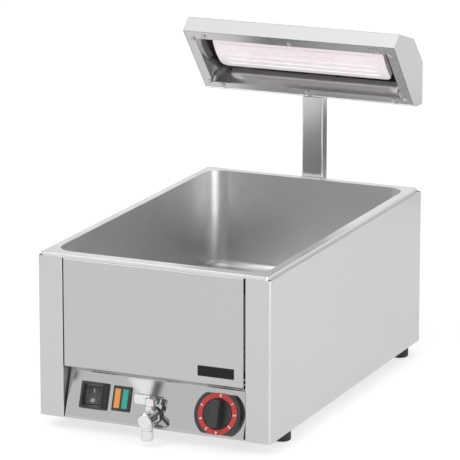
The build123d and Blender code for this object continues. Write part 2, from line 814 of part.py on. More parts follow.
with BuildPart() as switch_frame:
    with BuildSketch(on_fascia(switch_x, switch_s)):
        RectangleRounded(switch_width, switch_height, 2)
    extrude(amount=frame_height, taper=2)
    with BuildSketch(on_fascia(switch_x, switch_s)):
        Rectangle(switch_width - 2 * frame_wall, switch_height - 2 * frame_wall)
    extrude(amount=frame_height, mode=Mode.SUBTRACT)
    with BuildSketch(on_fascia(switch_x, switch_s, frame_height - 2.5)):
        Rectangle(switch_width - 2 * frame_wall + 2.4, switch_height - 2 * frame_wall + 2.4)
    extrude(amount=cover_thickness + 0.1, mode=Mode.SUBTRACT)
finish(switch_frame, "switch_frame")

with BuildPart() as switch_cover:
    with BuildSketch(on_fascia(switch_x, switch_s, frame_height - 2.5)):
        Rectangle(switch_width - 2 * frame_wall + 2.2, switch_height - 2 * frame_wall + 2.2)
    extrude(amount=cover_thickness)
finish(switch_cover, "switch_cover")

rocker_plane = Plane(
    origin=on_fascia(switch_x, switch_s, rocker_pivot).origin,
    x_dir=fascia.x_dir,
    z_dir=fascia.z_dir.rotate(Axis((0, 0, 0), (1, 0, 0)), -rocker_tilt),
)
rocker_side = Plane(origin=rocker_plane.origin, x_dir=rocker_plane.y_dir, z_dir=rocker_plane.x_dir)
with BuildPart() as switch_rocker:
    with BuildSketch(rocker_side):
        with BuildLine():
            Polyline((-rocker_length / 2, -2.5), (0, -5.5), (rocker_length / 2, -2.5), (rocker_length / 2, 1.8))
            ThreePointArc((rocker_length / 2, 1.8), (0, 0.6), (-rocker_length / 2, 1.8))
            Line((-rocker_length / 2, 1.8), (-rocker_length / 2, -2.5))
        make_face()
    extrude(amount=rocker_width / 2, both=True)
finish(switch_rocker, "switch_rocker")

# Twin pilot light: one black frame with an amber and a green lens
lens_pitch = (lens_width + lens_gap) / 2
with BuildPart() as pilot_frame:
    with BuildSketch(on_fascia(pilot_x, pilot_s)):
        RectangleRounded(pilot_width, pilot_height, 1.2)
    extrude(amount=pilot_thickness)
    fillet(pilot_frame.faces().sort_by(Axis(fascia.origin, fascia.z_dir))[-1].edges(), 0.6)
    with BuildSketch(on_fascia(pilot_x, pilot_s)):
        Rectangle(pilot_width - 4, pilot_height - 4)
    extrude(amount=-pilot_body_depth)
    with BuildSketch(on_fascia(pilot_x, pilot_s, pilot_thickness)):
        with Locations([(-lens_pitch, 0), (lens_pitch, 0)]):
            Rectangle(lens_width + 0.1, lens_height + 0.1)
    extrude(amount=-pilot_thickness - 8, mode=Mode.SUBTRACT)
finish(pilot_frame, "pilot_frame")

for lens_name, lens_side in (("orange_lens", -1), ("green_lens", 1)):
    with BuildPart() as lens:
        with BuildSketch(on_fascia(pilot_x + lens_side * lens_pitch, pilot_s, -5)):
            Rectangle(lens_width, lens_height)
        extrude(amount=5 + pilot_thickness + lens_proud)
        fillet(lens.faces().sort_by(Axis(fascia.origin, fascia.z_dir))[-1].edges(), 0.6)
    finish(lens, lens_name)

# Column: a rectangular tube behind the rear panel
column_y = rear_face_y + column_depth / 2
column_bottom = floor_z + column_bottom_z
hood_base = floor_z + hood_base_z
with BuildPart() as column:
    with BuildSketch(Plane.XY.offset(column_bottom)):
        with Locations((0, column_y)):
            RectangleRounded(column_width, column_depth, column_corner)
            RectangleRounded(
                column_width - 2 * column_wall, column_depth - 2 * column_wall, column_corner - column_wall,
                mode=Mode.SUBTRACT,
            )
    extrude(amount=hood_base - column_bottom)
    with BuildSketch(Plane.XZ.offset(-rear_face_y - column_depth / 2)):
        with Locations((0, lead_hole_z)):
            Circle(lead_hole_radius)
        with Locations([(x, z) for x in (-column_x_screw, column_x_screw) for z in column_screw_zs]):
            Circle(screw_radius)
    extrude(amount=column_depth / 2, mode=Mode.SUBTRACT)
finish(column, "column")

with BuildPart() as column_plug:
    with BuildSketch(Plane.XY.offset(column_bottom - 1.5)):
        with Locations((0, column_y)):
            RectangleRounded(column_width, column_depth, column_corner)
    extrude(amount=1.5)
    with BuildSketch(Plane.XY.offset(column_bottom)):
        with Locations((0, column_y)):
            RectangleRounded(column_width - 2 * column_wall, column_depth - 2 * column_wall, column_corner)
            Rectangle(column_width - 2 * column_wall - 4, column_depth - 2 * column_wall - 4, mode=Mode.SUBTRACT)
    extrude(amount=8)
finish(column_plug, "column_plug")

with BuildPart() as lead_grommet:
    with BuildSketch(Plane.XZ.offset(-rear_face_y - column_wall)):
        with Locations((0, lead_hole_z)):
            Circle(lead_hole_radius - 0.05)
            Circle(lead_radius + 0.1, mode=Mode.SUBTRACT)
    extrude(amount=column_wall + sheet + 1.5)
    with BuildSketch(Plane.XZ.offset(-rear_face_y + sheet)):
        with Locations((0, lead_hole_z)):
            Circle(lead_hole_radius + 2)
            Circle(lead_radius + 0.1, mode=Mode.SUBTRACT)
    extrude(amount=1.5)
finish(lead_grommet, "lead_grommet")

# Hood outline, in the plane of its end plates
tilt = math.radians(hood_tilt)
along = Vector(0, -math.cos(tilt), math.sin(tilt))
inward = Vector(0, math.sin(tilt), math.cos(tilt))
hood_lip = Vector(0, rear_y - hood_base_depth - hood_lip_run, hood_base + hood_lip_rise)


def hood_point(v, w):
    """A point v along the hood's opening from its lower lip and w deep, as Y and Z."""
    point = hood_lip + along * v + inward * w
    return (point.Y, point.Z)


hood_corner_back = hood_point(hood_back_low, hood_back_depth)
hood_outline = [
    hood_point(0, 0),
    (rear_y - hood_base_depth, hood_base),
    (rear_y, hood_base),
    (rear_y, hood_corner_back[1]),
    hood_point(hood_back_high, hood_back_depth),
    hood_point(hood_opening, hood_front_wall),
    hood_point(hood_opening, 0),
]
opening_plane = Plane(origin=hood_lip, x_dir=(1, 0, 0), z_dir=-inward)
end_plate = sheet
shell_half = hood_length / 2 - end_plate

# Hood shell: one sheet folded round the back of the reflector, open where the lamp looks out
hood_lead_y = column_y
with BuildPart() as hood_shell:
    with BuildSketch(Plane.YZ):
        with BuildLine():
            FilletPolyline(*hood_outline, radius=fold_radius)
            offset(amount=sheet, side=Side.LEFT)
        make_face()
    extrude(amount=shell_half, both=True)
    with BuildSketch(Plane.XY.offset(hood_base)):
        with Locations((0, hood_lead_y)):
            Circle(lead_hole_radius)
        with Locations([(x, hood_lead_y) for x in (-hood_screw_x, hood_screw_x)]):
            Circle(screw_radius + 0.1)
    extrude(amount=sheet, mode=Mode.SUBTRACT)
finish(hood_shell, "hood_shell")

# End plates close the shell; each has a narrow flange folded inside it, all but along the opening
for end_name, end_side in (("hood_end_left", -1), ("hood_end_right", 1)):
    with BuildPart() as hood_end:
        with BuildSketch(Plane.YZ.offset(end_side * shell_half)):
            with BuildLine():
                Polyline(*hood_outline, close=True)
            make_face()
        extrude(amount=end_side * end_plate)
        with BuildSketch(Plane.YZ.offset(end_side * shell_half)) as flange_outline:
            with BuildLine():
                Polyline(*hood_outline, close=True)
            make_face()
            offset(amount=-sheet)
            fillet(flange_outline.vertices(), fold_radius)
        extrude(amount=-end_side * end_flange)
        with BuildSketch(Plane.YZ.offset(end_side * shell_half)) as flange_inside:
            with BuildLine():
                Polyline(*hood_outline, close=True)
            make_face()
            offset(amount=-2 * sheet)
            fillet(flange_inside.vertices(), fold_radius / 2)
        extrude(amount=-end_side * end_flange, mode=Mode.SUBTRACT)
        with BuildSketch(opening_plane):
            with Locations((end_side * (shell_half - end_flange / 2), hood_opening / 2)):
                Rectangle(end_flange, 2 * hood_opening)
        extrude(amount=-strip_thickness - reflector_sheet - 2 * gap, mode=Mode.SUBTRACT)
    finish(hood_end, end_name)

# Four flat strips frame the opening, flush with it
strip_low = 1.8
strip_top = hood_opening - sheet - gap
side_strip_x = shell_half - gap
opening_low = strip_low + strip_band - 1
opening_high = strip_top - strip_wide_band
hood_ends_x = side_strip_x - strip_band - 1


def hood_strip(name, x_low, x_high, v_low, v_high, holes):
    """One flat strip of the opening, with its screw holes."""
    with BuildPart() as strip:
        with BuildSketch(opening_plane):
            with Locations(((x_low + x_high) / 2, (v_low + v_high) / 2)):
                Rectangle(x_high - x_low, v_high - v_low)
            with Locations(holes):
                Circle(screw_radius, mode=Mode.SUBTRACT)
        extrude(amount=-strip_thickness)
    finish(strip, name)


top_screws = [(x, opening_high + high_screw_edge) for x in (-strip_screw_x, 0, strip_screw_x)]
bottom_screws = [(x, opening_low - low_screw_edge) for x in (-strip_screw_x, 0, strip_screw_x)]
side_screw_x = hood_ends_x + side_screw_edge
side_screw_vs = (strip_low + side_screw_low, strip_top - side_screw_high)
left_screws = [(-side_screw_x, v) for v in side_screw_vs]
right_screws = [(side_screw_x, v) for v in side_screw_vs]
hood_strip("hood_strip_top", -hood_ends_x, hood_ends_x, opening_high, strip_top, top_screws)
hood_strip("hood_strip_bottom", -hood_ends_x, hood_ends_x, strip_low, opening_low, bottom_screws)
hood_strip("hood_strip_left", -side_strip_x, -hood_ends_x, strip_low, strip_top, left_screws)
hood_strip("hood_strip_right", hood_ends_x, side_strip_x, strip_low, strip_top, right_screws)

# Reflector: a pressed trough whose flange lies behind the strips
reflector_mid = (opening_low + opening_high) / 2
reflector_width = opening_high - opening_low
reflector_length = 2 * hood_ends_x
flange_grow = strip_band - 3
emitter_length = reflector_length - 2 * emitter_end_room
emitter_mid = emitter_low_v + emitter_width / 2
with BuildPart() as reflector:
    with BuildSketch(opening_plane.offset(-strip_thickness)):
        with Locations((0, reflector_mid)):
            Rectangle(reflector_length + 2 * flange_grow, reflector_width + 2 * flange_grow)
    extrude(amount=-reflector_sheet)
    with BuildSketch(opening_plane.offset(-strip_thickness)):
        with Locations((0, reflector_mid)):
            RectangleRounded(
                reflector_length + 2 * reflector_sheet, reflector_width + 2 * reflector_sheet, 3 + reflector_sheet
            )
    extrude(amount=-reflector_depth, taper=reflector_slope)
    with BuildSketch(opening_plane.offset(-strip_thickness)):
        with Locations((0, reflector_mid)):
            RectangleRounded(reflector_length, reflector_width, 3)
    extrude(amount=-reflector_depth + reflector_sheet, taper=reflector_slope, mode=Mode.SUBTRACT)
    with BuildSketch(opening_plane.offset(-strip_thickness)):
        with Locations((0, emitter_mid)):
            Rectangle(neck_size[0] + 2 * neck_clearance, neck_size[1] + 2 * neck_clearance)
        with Locations(top_screws + bottom_screws + left_screws + right_screws):
            Circle(screw_radius)
    extrude(amount=-reflector_depth - 1, mode=Mode.SUBTRACT)
finish(reflector, "reflector")

with BuildPart() as hood_strip_screws:
    with BuildSketch(opening_plane):
        with Locations(top_screws + bottom_screws + left_screws + right_screws):
            Circle(head_radius)
    extrude(amount=head_height)
    fillet(hood_strip_screws.faces().group_by(Axis(hood_lip, -inward))[-1].edges(), 1.2)
    with BuildSketch(opening_plane):
        with Locations(top_screws + bottom_screws + left_screws + right_screws):
            Circle(screw_radius)
    extrude(amount=-strip_thickness - reflector_sheet - 3)
finish(hood_strip_screws, "hood_strip_screws")

# Ceramic emitter: a bowed tile with long ribs and a neck through the reflector
emitter_edge = emitter_recess + emitter_sag
emitter_back = emitter_edge + emitter_thickness
bow_radius = ((emitter_width / 2) ** 2 + emitter_sag**2) / (2 * emitter_sag)


def emitter_bow(away):
    """How far the emitter's face falls back at a distance from its middle line."""
    return bow_radius - math.sqrt(bow_radius**2 - away**2)


with BuildPart() as ceramic_emitter:
    with BuildSketch(Plane.YZ.offset(-emitter_length / 2)):
        with BuildLine():
            ThreePointArc(
                hood_point(emitter_low_v, emitter_edge),
                hood_point(emitter_mid, emitter_recess),
                hood_point(emitter_low_v + emitter_width, emitter_edge),
            )
            Line(
                hood_point(emitter_low_v + emitter_width, emitter_edge),
                hood_point(emitter_low_v + emitter_width, emitter_back - 2),
            )
            ThreePointArc(
                hood_point(emitter_low_v + emitter_width, emitter_back - 2),
                hood_point(emitter_mid, emitter_back - 5),
                hood_point(emitter_low_v, emitter_back - 2),
            )
            Line(hood_point(emitter_low_v, emitter_back - 2), hood_point(emitter_low_v, emitter_edge))
        make_face()
    extrude(amount=emitter_length)
    with BuildSketch(opening_plane):
        with Locations((0, emitter_mid)):
            RectangleRounded(emitter_length, emitter_width, emitter_corner)
    extrude(amount=-emitter_back - 10, mode=Mode.INTERSECT)
    with BuildSketch(opening_plane.offset(-emitter_back + 6)):
        with Locations((0, emitter_mid)):
            RectangleRounded(neck_size[0], neck_size[1], 4)
    extrude(amount=-neck_length - reflector_depth + emitter_back - 4)
    for rib in range(rib_count):
        away = (rib - (rib_count - 1) / 2) * rib_pitch
        face = emitter_recess + emitter_bow(away)
        with BuildSketch(opening_plane.offset(-face - rib_radius)):
            with Locations((0, emitter_mid + away)):
                SlotOverall(emitter_length - 2 * rib_end, 2 * rib_radius)
        extrude(amount=2 * rib_radius - rib_sink, taper=rib_slope)
finish(ceramic_emitter, "ceramic_emitter")

# Spring plate that holds the emitter's neck behind the reflector
clip_w = strip_thickness + reflector_depth
with BuildPart() as emitter_clip:
    with BuildSketch(opening_plane.offset(-clip_w)):
        with Locations((0, emitter_mid)):
            RectangleRounded(neck_size[0] + clip_margin[0], neck_size[1] + clip_margin[1], 4)
            Rectangle(neck_size[0] + 0.4, neck_size[1] + 0.4, mode=Mode.SUBTRACT)
    extrude(amount=-1)
finish(emitter_clip, "emitter_clip")

# Two terminal blocks and the lead between them, up the column
casing_block_y = rear_face_y - casing_block_inset
hood_block_z = hood_base + hood_block_rise
with BuildPart() as terminal_blocks:
    with BuildSketch(Plane.XY.offset(base_z + sheet)):
        with Locations((casing_block_x, casing_block_y)):
            Rectangle(block_size[0], block_size[1])
            with GridLocations(block_pitch, 0, 3, 1):
                Circle(block_hole, mode=Mode.SUBTRACT)
    extrude(amount=block_size[2])
    with BuildSketch(Plane.XZ.offset(-rear_y + sheet)):
        with Locations((hood_block_x, hood_block_z)):
            Rectangle(block_size[0], block_size[1])
            with GridLocations(block_pitch, 0, 3, 1):
                Circle(block_hole, mode=Mode.SUBTRACT)
    extrude(amount=block_size[2])
finish(terminal_blocks, "terminal_blocks")

lead_start_x = casing_block_x - block_size[0] / 2
lead_low_z = base_z + sheet + block_size[2] / 2
with BuildPart() as hood_lead:
    with BuildLine():
        FilletPolyline(
            (lead_start_x, casing_block_y, lead_low_z),
            (0, casing_block_y, lead_low_z),
            (0, casing_block_y, lead_hole_z),
            (0, column_y, lead_hole_z),
            (0, column_y, hood_block_z),
            (hood_block_x - block_size[0] / 2, column_y, hood_block_z),
            radius=lead_bend,
        )
    with BuildSketch(Plane.YZ.offset(lead_start_x)):
        with Locations((casing_block_y, lead_low_z)):
            Circle(lead_radius)
    sweep()
finish(hood_lead, "hood_lead")

# A flat foot plate and two screws hold the hood down on the column
with BuildPart() as column_cap:
    with BuildSketch(Plane.XY.offset(hood_base)):
        with Locations((0, column_y)):
            RectangleRounded(column_width - 2 * column_wall, column_depth - 2 * column_wall, column_corner)
            Circle(lead_hole_radius, mode=Mode.SUBTRACT)
        with Locations([(x, column_y) for x in (-hood_screw_x, hood_screw_x)]):
            Circle(screw_radius, mode=Mode.SUBTRACT)
    extrude(amount=-3)
finish(column_cap, "column_cap")

with BuildPart() as hood_screws:
    with BuildSketch(Plane.XY.offset(hood_base + sheet)):
        with Locations([(x, column_y) for x in (-hood_screw_x, hood_screw_x)]):
            Circle(head_radius)
    extrude(amount=head_height)
    with BuildSketch(Plane.XY.offset(hood_base + sheet)):
        with Locations([(x, column_y) for x in (-hood_screw_x, hood_screw_x)]):
            Circle(screw_radius)
    extrude(amount=-sheet - 5)
finish(hood_screws, "hood_screws")

# Cable gland on the rear panel, with its locknut inside
with BuildPart() as cable_gland:
    with BuildSketch(Plane.XZ.offset(-rear_face_y)):
        with Locations((gland_x, floor_z + gland_z)):
            RegularPolygon(12, 6)
    extrude(amount=-6)
    with BuildSketch(Plane.XZ.offset(-rear_face_y - 6)):
        with Locations((gland_x, floor_z + gland_z)):
            Circle(10)
    extrude(amount=-gland_reach + 6, taper=8)
    with BuildSketch(Plane.XZ.offset(-rear_face_y)):
        with Locations((gland_x, floor_z + gland_z)):
            Circle(gland_hole_radius)
    extrude(amount=sheet + 9)
    with BuildSketch(Plane.XZ.offset(-rear_face_y - gland_reach)):
        with Locations((gland_x, floor_z + gland_z)):
            Circle(gland_bore_radius)
    extrude(amount=gland_reach + sheet + 9, mode=Mode.SUBTRACT)
finish(cable_gland, "cable_gland")

with BuildPart() as gland_locknut:
    with BuildSketch(Plane.XZ.offset(-rear_face_y + sheet)):
        with Locations((gland_x, floor_z + gland_z)):
            RegularPolygon(12, 6)
            Circle(gland_hole_radius + 0.1, mode=Mode.SUBTRACT)
    extrude(amount=5)
finish(gland_locknut, "gland_locknut")

# Screws through the back: rear panel to the side returns, and the column to the rear panel
rear_screw_places = [(x, z) for x in (-rear_screw_x, rear_screw_x) for z in rear_screw_zs]
column_screw_places = [(x, z) for x in (-column_x_screw, column_x_screw) for z in column_screw_zs]
with BuildPart() as rear_screws:
    with BuildSketch(Plane.XZ.offset(-back_y)):
        with Locations(rear_screw_places):
            Circle(head_radius)
    extrude(amount=-head_height)
    with BuildSketch(Plane.XZ.offset(-back_y)):
        with Locations(rear_screw_places):
            Circle(screw_radius)
    extrude(amount=2 * sheet + 4)
    with BuildSketch(Plane.XZ.offset(-rear_face_y + sheet)):
        with Locations(column_screw_places):
            Circle(head_radius)
    extrude(amount=head_height)
    with BuildSketch(Plane.XZ.offset(-rear_face_y + sheet)):
        with Locations(column_screw_places):
            Circle(screw_radius)
    extrude(amount=-sheet - column_wall - 4)
finish(rear_screws, "rear_screws")
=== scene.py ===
"""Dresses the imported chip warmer: finishes, small pieces, floor, light and camera."""
import json
import math

import bmesh
import bpy
from mathutils import Matrix, Vector


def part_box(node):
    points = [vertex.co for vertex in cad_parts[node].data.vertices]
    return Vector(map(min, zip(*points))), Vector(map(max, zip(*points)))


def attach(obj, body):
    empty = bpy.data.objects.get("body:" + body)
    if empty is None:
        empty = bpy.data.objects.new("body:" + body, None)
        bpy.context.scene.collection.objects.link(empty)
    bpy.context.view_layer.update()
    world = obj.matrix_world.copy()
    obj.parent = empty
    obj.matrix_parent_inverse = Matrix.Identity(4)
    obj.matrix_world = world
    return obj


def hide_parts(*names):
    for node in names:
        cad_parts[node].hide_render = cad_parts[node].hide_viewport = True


bl_info = {
    "name": "Chip warmer dresser",
    "version": (1, 0, 0),
    "blender": (4, 5, 0),
    "location": "3D View > Sidebar > Chip warmer",
    "description": "Finishes, small pieces, light and camera for a counter-top chip warmer",
    "category": "Object",
}

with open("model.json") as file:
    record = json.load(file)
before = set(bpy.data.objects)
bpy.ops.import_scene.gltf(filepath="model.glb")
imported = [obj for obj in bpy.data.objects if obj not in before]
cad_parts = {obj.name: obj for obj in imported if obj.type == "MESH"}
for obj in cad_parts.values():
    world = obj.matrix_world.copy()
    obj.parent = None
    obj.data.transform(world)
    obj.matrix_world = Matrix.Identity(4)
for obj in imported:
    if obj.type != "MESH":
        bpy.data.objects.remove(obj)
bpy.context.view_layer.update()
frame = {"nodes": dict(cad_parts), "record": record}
nodes = frame["nodes"]
MM = 0.001

# Camera: where the photograph was taken from, fitted to the casing's corners
CAMERA_AZIMUTH = math.radians(23.94)
CAMERA_ELEVATION = math.radians(14.27)
CAMERA_PLACE = Vector((1.8972, -4.28935, 1.4223))
CAMERA_LENS = 273.5
CLIP_NEAR = 0.1
CLIP_FAR = 60
SENSOR = 36.0

# The studio that metal reflects: its brightness low in front, low behind, in its dim band and overhead,
# and where one gives way to the next, along Y and up Z of the direction looked in
FRONT_LEVEL = 1.2
BACK_LEVEL = 1.6
DIM_BAND = 0.25
OVERHEAD = 2.1
FRONT_TO_BACK = (-0.4, 0.5)
LOW_TO_BAND = (0.4, 0.55)
BAND_TO_OVERHEAD = (0.75, 0.92)
# The even light that the studio gives to everything
SOFT_LIGHT = 1.1

# The floor, a hair under the feet: its colour, and the shade and glow that the camera sees as white
FLOOR_HALF = 12
FLOOR_DROP = 0.0002
FLOOR_COLOUR = (0.8, 0.8, 0.8, 1)
FLOOR_SHADE = (0.45, 0.45, 0.45, 1)
FLOOR_GLOW = 0.62

# Lamps: place, point aimed at, size, watts, whether bright metal mirrors the lamp,
# and the nodes that it is kept to, or none where it lights all
LAMPS = (
    ("key_lamp", (-1.6, -2.4, 2.6), (0.0, 0.0, 0.15), 1.8, 30, True, ()),
    ("side_lamp", (2.8, -0.8, 1.6), (0.0, 0.0, 0.15), 1.6, 12, False, ()),
    ("corner_lamp", (2.4, -1.3, 0.9), (-0.14, 0.24, 0.2), 0.5, 110, True,
     ("well_tank", "front_panel", "side_panel_left", "side_panel_right")),
    ("emitter_lamp", (0.4, -1.5, 0.2), (0.0, 0.25, 0.42), 0.8, 20, False, ("ceramic_emitter",)),
)

# The casing's places, read from the frame
panel_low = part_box("front_panel")[0]
FRONT_Y = panel_low[1]
CASING_BOTTOM = panel_low[2]
BADGE_CENTRE = (91.4 * MM, 89.8 * MM)
BADGE_SIZE = (52.2 * MM, 14.2 * MM)
BADGE_CORNER = 0.001
BADGE_EDGE = 0.0003

# The sloping fascia that carries the controls
BEND_Z = 4 * MM
RECESS_DEPTH = 20 * MM
RECESS_RISE = 58.5 * MM
LEDGE_HEIGHT = 66 * MM
FASCIA_ROUGHNESS = 0.07
FASCIA_ANGLE = math.atan2(RECESS_DEPTH, RECESS_RISE)
FASCIA_OUT = Vector((0, -math.cos(FASCIA_ANGLE), math.sin(FASCIA_ANGLE)))
FASCIA_UP = Vector((0, math.sin(FASCIA_ANGLE), math.cos(FASCIA_ANGLE)))
FASCIA_ORIGIN = Vector((0, FRONT_Y, CASING_BOTTOM + BEND_Z))

# Knob and dial: each number with its clockwise angle from the top, in degrees,
# and the pointer's profile of radii and heights
KNOB_PLACE = (93 * MM, 27.5 * MM)
KNOB_HEIGHT = 22 * MM
BEZEL_HEIGHT = 8.5 * MM
DIAL_RADIUS = 24.6 * MM
DIAL_NUMBERS = {"0": 4, "1": 52, "2": 88, "3": 128, "4": 176, "5": 212, "6": 250, "7": 292}
CAP_SHARE = 0.7
LETTER_DEPTH = 0.00015
LETTER_SWELL = 0.00008
POINTER_REACH = 13 * MM
POINTER_PROFILE = ((0, 0.00002), (0.0009, 0.00002), (0.0011, 0.0003), (0.0014, 0.0003),
                   (0.0014, -0.0004), (0, -0.0004))

# Rocker switch: its hollow face, and the on bar and off ring printed on it
SWITCH_PLACE = (-91 * MM, 30.3 * MM)
ROCKER_PIVOT = 2.5 * MM
ROCKER_TILT = math.radians(8)
ROCKER_HALF = 12 * MM
ROCKER_DIP = 0.6 * MM
ROCKER_RISE = 1.2 * MM
ON_BAR = (0.0011, 0.0052)
ON_BAR_CORNER = 0.0004
ON_BAR_EDGE = 0.00005
OFF_RING = (0.0024, 0.0015)
MARK_DEPTH = 0.0002
MARK_SINK = 0.00006
MARK_SHARE = 0.56
MARK_LEAN = 1.12

# The hood's tilted opening: the way up along it from its lower lip, and the way into the hood
HOOD_TILT = math.radians(50.7)
HOOD_ALONG = Vector((0, -math.cos(HOOD_TILT), math.sin(HOOD_TILT)))
HOOD_INWARD = Vector((0, math.sin(HOOD_TILT), math.cos(HOOD_TILT)))
HOOD_LIP_RUN = 34 * MM
HOOD_LIP_RISE = 4 * MM
column_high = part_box("column")[1]
HOOD_LIP = Vector((0, column_high[1] - HOOD_LIP_RUN, column_high[2] + HOOD_LIP_RISE))
# Where the screws of the opening's strips sit, across and up it, in mm
STRIP_SCREWS = (
    [(across, up) for up in (115, 7) for across in (-133, 0, 133)]
    + [(across, up) for across in (-151.5, 151.5) for up in (13.3, 108.8)]
)
# Pan-head screw: its crown and recess, the crown's rings as shares of radius and height,
# the recess's arm and half width and the shank as shares of the radius, and how the screws are turned
SCREW_CROWN = 0.0022
SCREW_RECESS = 0.0009
SCREW_RINGS = ((1.0, 0.0), (1.0, 0.3), (0.93, 0.62), (0.8, 0.85), (0.72, 0.93))
SCREW_CROSS = (0.62, 0.17)
SCREW_CROSS_TAPER = 0.8
SCREW_SHANK = 0.0048
SCREW_SHANK_SHARE = 0.55
SCREW_STEPS = 48
SCREW_TURN = 0.9
SCREW_SEED = 7

# What the polished fascia mirrors beside the tap: outlines across and up it, in mm, and their brightness
FASCIA_MIRRORS = (
    ("pale_mirror", [(-45.6, 60), (-29, 43.5), (-15, 33), (-10.8, 37), (-7, 62)], 1.6),
    ("dim_mirror", [(-7, 62), (-11, 36), (1, 33), (6.5, 62)], 0.12),
    ("corner_mirror", [(-133, 62), (-133, 45), (-121, 49), (-119, 62)], 0.1),
)
MIRROR_REACH = 0.35
# Upright dim cards round the front, for the plated tap's dark lines: place, half width and brightness
SIDE_CARDS = (
    ("front_card", (0.75, -1.75), 0.22, 0.12),
    ("left_card", (-1.7, -0.75), 0.4, 0.12),
    ("right_card", (1.9, -0.35), 0.45, 0.12),
)
SIDE_CARD_HEIGHT = 0.9
# A dim card behind the appliance, which the column's side mirrors
COLUMN_CARD = [(0.12, 1.0, 0.05), (0.42, 1.0, 0.05), (0.42, 1.0, 0.19), (0.12, 1.0, 0.19)]
COLUMN_CARD_LEVEL = 0.1

# Plated finishes by colour and roughness, and moulded ones by colour, roughness, dust and skin
PLATED = {
    "bright_reflector": ((0.52, 0.52, 0.52), 0.1),
    "chromed_brass": ((0.74, 0.74, 0.75), 0.07),
    "bare_brass": ((0.74, 0.56, 0.28), 0.25),
    "screw_steel": ((0.6, 0.6, 0.6), 0.12),
    "shaft_steel": ((0.62, 0.62, 0.62), 0.22),
}
MOULDED = {
    "black_rubber": ((0.022, 0.022, 0.022), 0.6, 0.05, 0.3),
    "lead_sheath": ((0.42, 0.41, 0.38), 0.55, 0.02, 0.2),
    "black_plastic": ((0.026, 0.026, 0.028), 0.34, 0.02, 0.2),
    "grey_plastic": ((0.28, 0.28, 0.28), 0.5, 0.02, 0.2),
    "seat_plastic": ((0.88, 0.88, 0.86), 0.4, 0.02, 0.2),
    "white_print": ((0.85, 0.85, 0.84), 0.5, 0.0, 0.05),
    "badge_black": ((0.006, 0.006, 0.007), 0.35, 0.0, 0.05),
}
DIAL_PRINT = (0.3, 0.01, 0.05)
BADGE_SPECULAR = 0.25
# Shares of a finish's own colour: plating where it is dulled, a lens in its prism lines, and thin glaze
DULLED = 0.93
LENS_LINES = 0.72
THIN_GLAZE = (0.93, 0.8, 0.82)
# Painted shade darkens the front panel's steel and painted light brightens the column's, against the other
# sheets
PANEL_PAINTED_SHADE = 0.9
COLUMN_PAINTED_LIGHT = 1.12


def fascia_point(across, up, out=0.0):
    """A point on the fascia, across and up its slope and out from its face, in metres."""
    return FASCIA_ORIGIN + Vector((across, 0, 0)) + FASCIA_UP * up + FASCIA_OUT * out


def fascia_matrix(across, up, out=0.0):
    """The place on the fascia as a matrix: local x runs across, y up the slope and z outwards."""
    turn = Matrix((Vector((1, 0, 0)), FASCIA_UP, FASCIA_OUT)).transposed().to_4x4()
    return Matrix.Translation(fascia_point(across, up, out)) @ turn


def mirrored_place(across, up, reach):
    """Where the camera's ray to a point of the fascia goes on to, a reach beyond its mirror point."""
    point = fascia_point(across, up)
    ray = (point - CAMERA_PLACE).normalized()
    return point + ray.reflect(FASCIA_OUT) * reach


def hood_matrix():
    """The hood's opening as a matrix, at its lower lip: local x across, y up it and z out of the hood."""
    turn = Matrix((Vector((1, 0, 0)), HOOD_ALONG, -HOOD_INWARD)).transposed().to_4x4()
    return Matrix.Translation(HOOD_LIP) @ turn


class WarmerFinish(bpy.types.PropertyGroup):
    """Colours and roughness of the main finishes."""

    steel_colour: bpy.props.FloatVectorProperty(
        name="Casing steel", description="Reflected colour of the brushed casing", subtype="COLOR",
        size=3, min=0, max=1, default=(0.54, 0.54, 0.54),
    )
    tank_colour: bpy.props.FloatVectorProperty(
        name="Well steel", description="Reflected colour of the pressed well", subtype="COLOR",
        size=3, min=0, max=1, default=(0.63, 0.63, 0.632),
    )
    steel_roughness: bpy.props.FloatProperty(
        name="Casing roughness", description="Roughness of the brushed sheets", subtype="FACTOR",
        min=0, max=1, default=0.3,
    )
    dial_colour: bpy.props.FloatVectorProperty(
        name="Dial ring", description="Printed colour of the dial ring", subtype="COLOR",
        size=3, min=0, max=1, default=(0.5, 0.035, 0.03),
    )
    amber_colour: bpy.props.FloatVectorProperty(
        name="Left lens", description="Colour of the left pilot lens", subtype="COLOR",
        size=3, min=0, max=1, default=(0.82, 0.3, 0.045),
    )
    green_colour: bpy.props.FloatVectorProperty(
        name="Right lens", description="Colour of the right pilot lens", subtype="COLOR",
        size=3, min=0, max=1, default=(0.0, 0.36, 0.27),
    )
    ceramic_colour: bpy.props.FloatVectorProperty(
        name="Emitter glaze", description="Colour of the ceramic emitter", subtype="COLOR",
        size=3, min=0, max=1, default=(0.9, 0.876, 0.886),
    )


class WarmerSizes(bpy.types.PropertyGroup):
    """Sizes of the small pieces that the scene adds."""

    badge_thickness: bpy.props.FloatProperty(
        name="Badge thickness", description="How far the bare plate stands proud", subtype="DISTANCE",
        unit="LENGTH", min=0.0002, max=0.003, default=0.0008,
    )
    screw_head_radius: bpy.props.FloatProperty(
        name="Screw head radius", description="Radius of the pan-head screws", subtype="DISTANCE",
        unit="LENGTH", min=0.002, max=0.006, default=0.0036,
    )
    numeral_height: bpy.props.FloatProperty(
        name="Numeral height", description="Height of the dial's numbers", subtype="DISTANCE",
        unit="LENGTH", min=0.001, max=0.008, default=0.0042,
    )


# Shader nodes


def wire(tree, source, target):
    """Links two sockets."""
    tree.links.new(source, target)


def feed(tree, value, target):
    """Links a socket to the target, or sets the target to a plain value."""
    if hasattr(value, "links"):
        wire(tree, value, target)
    else:
        target.default_value = value


def set_inputs(node, values):
    """Sets a node's plain inputs by name."""
    for key, value in values.items():
        node.inputs[key].default_value = value


def object_place(tree):
    """Where a point lies on the finished object."""
    return tree.nodes.new("ShaderNodeTexCoord").outputs["Object"]


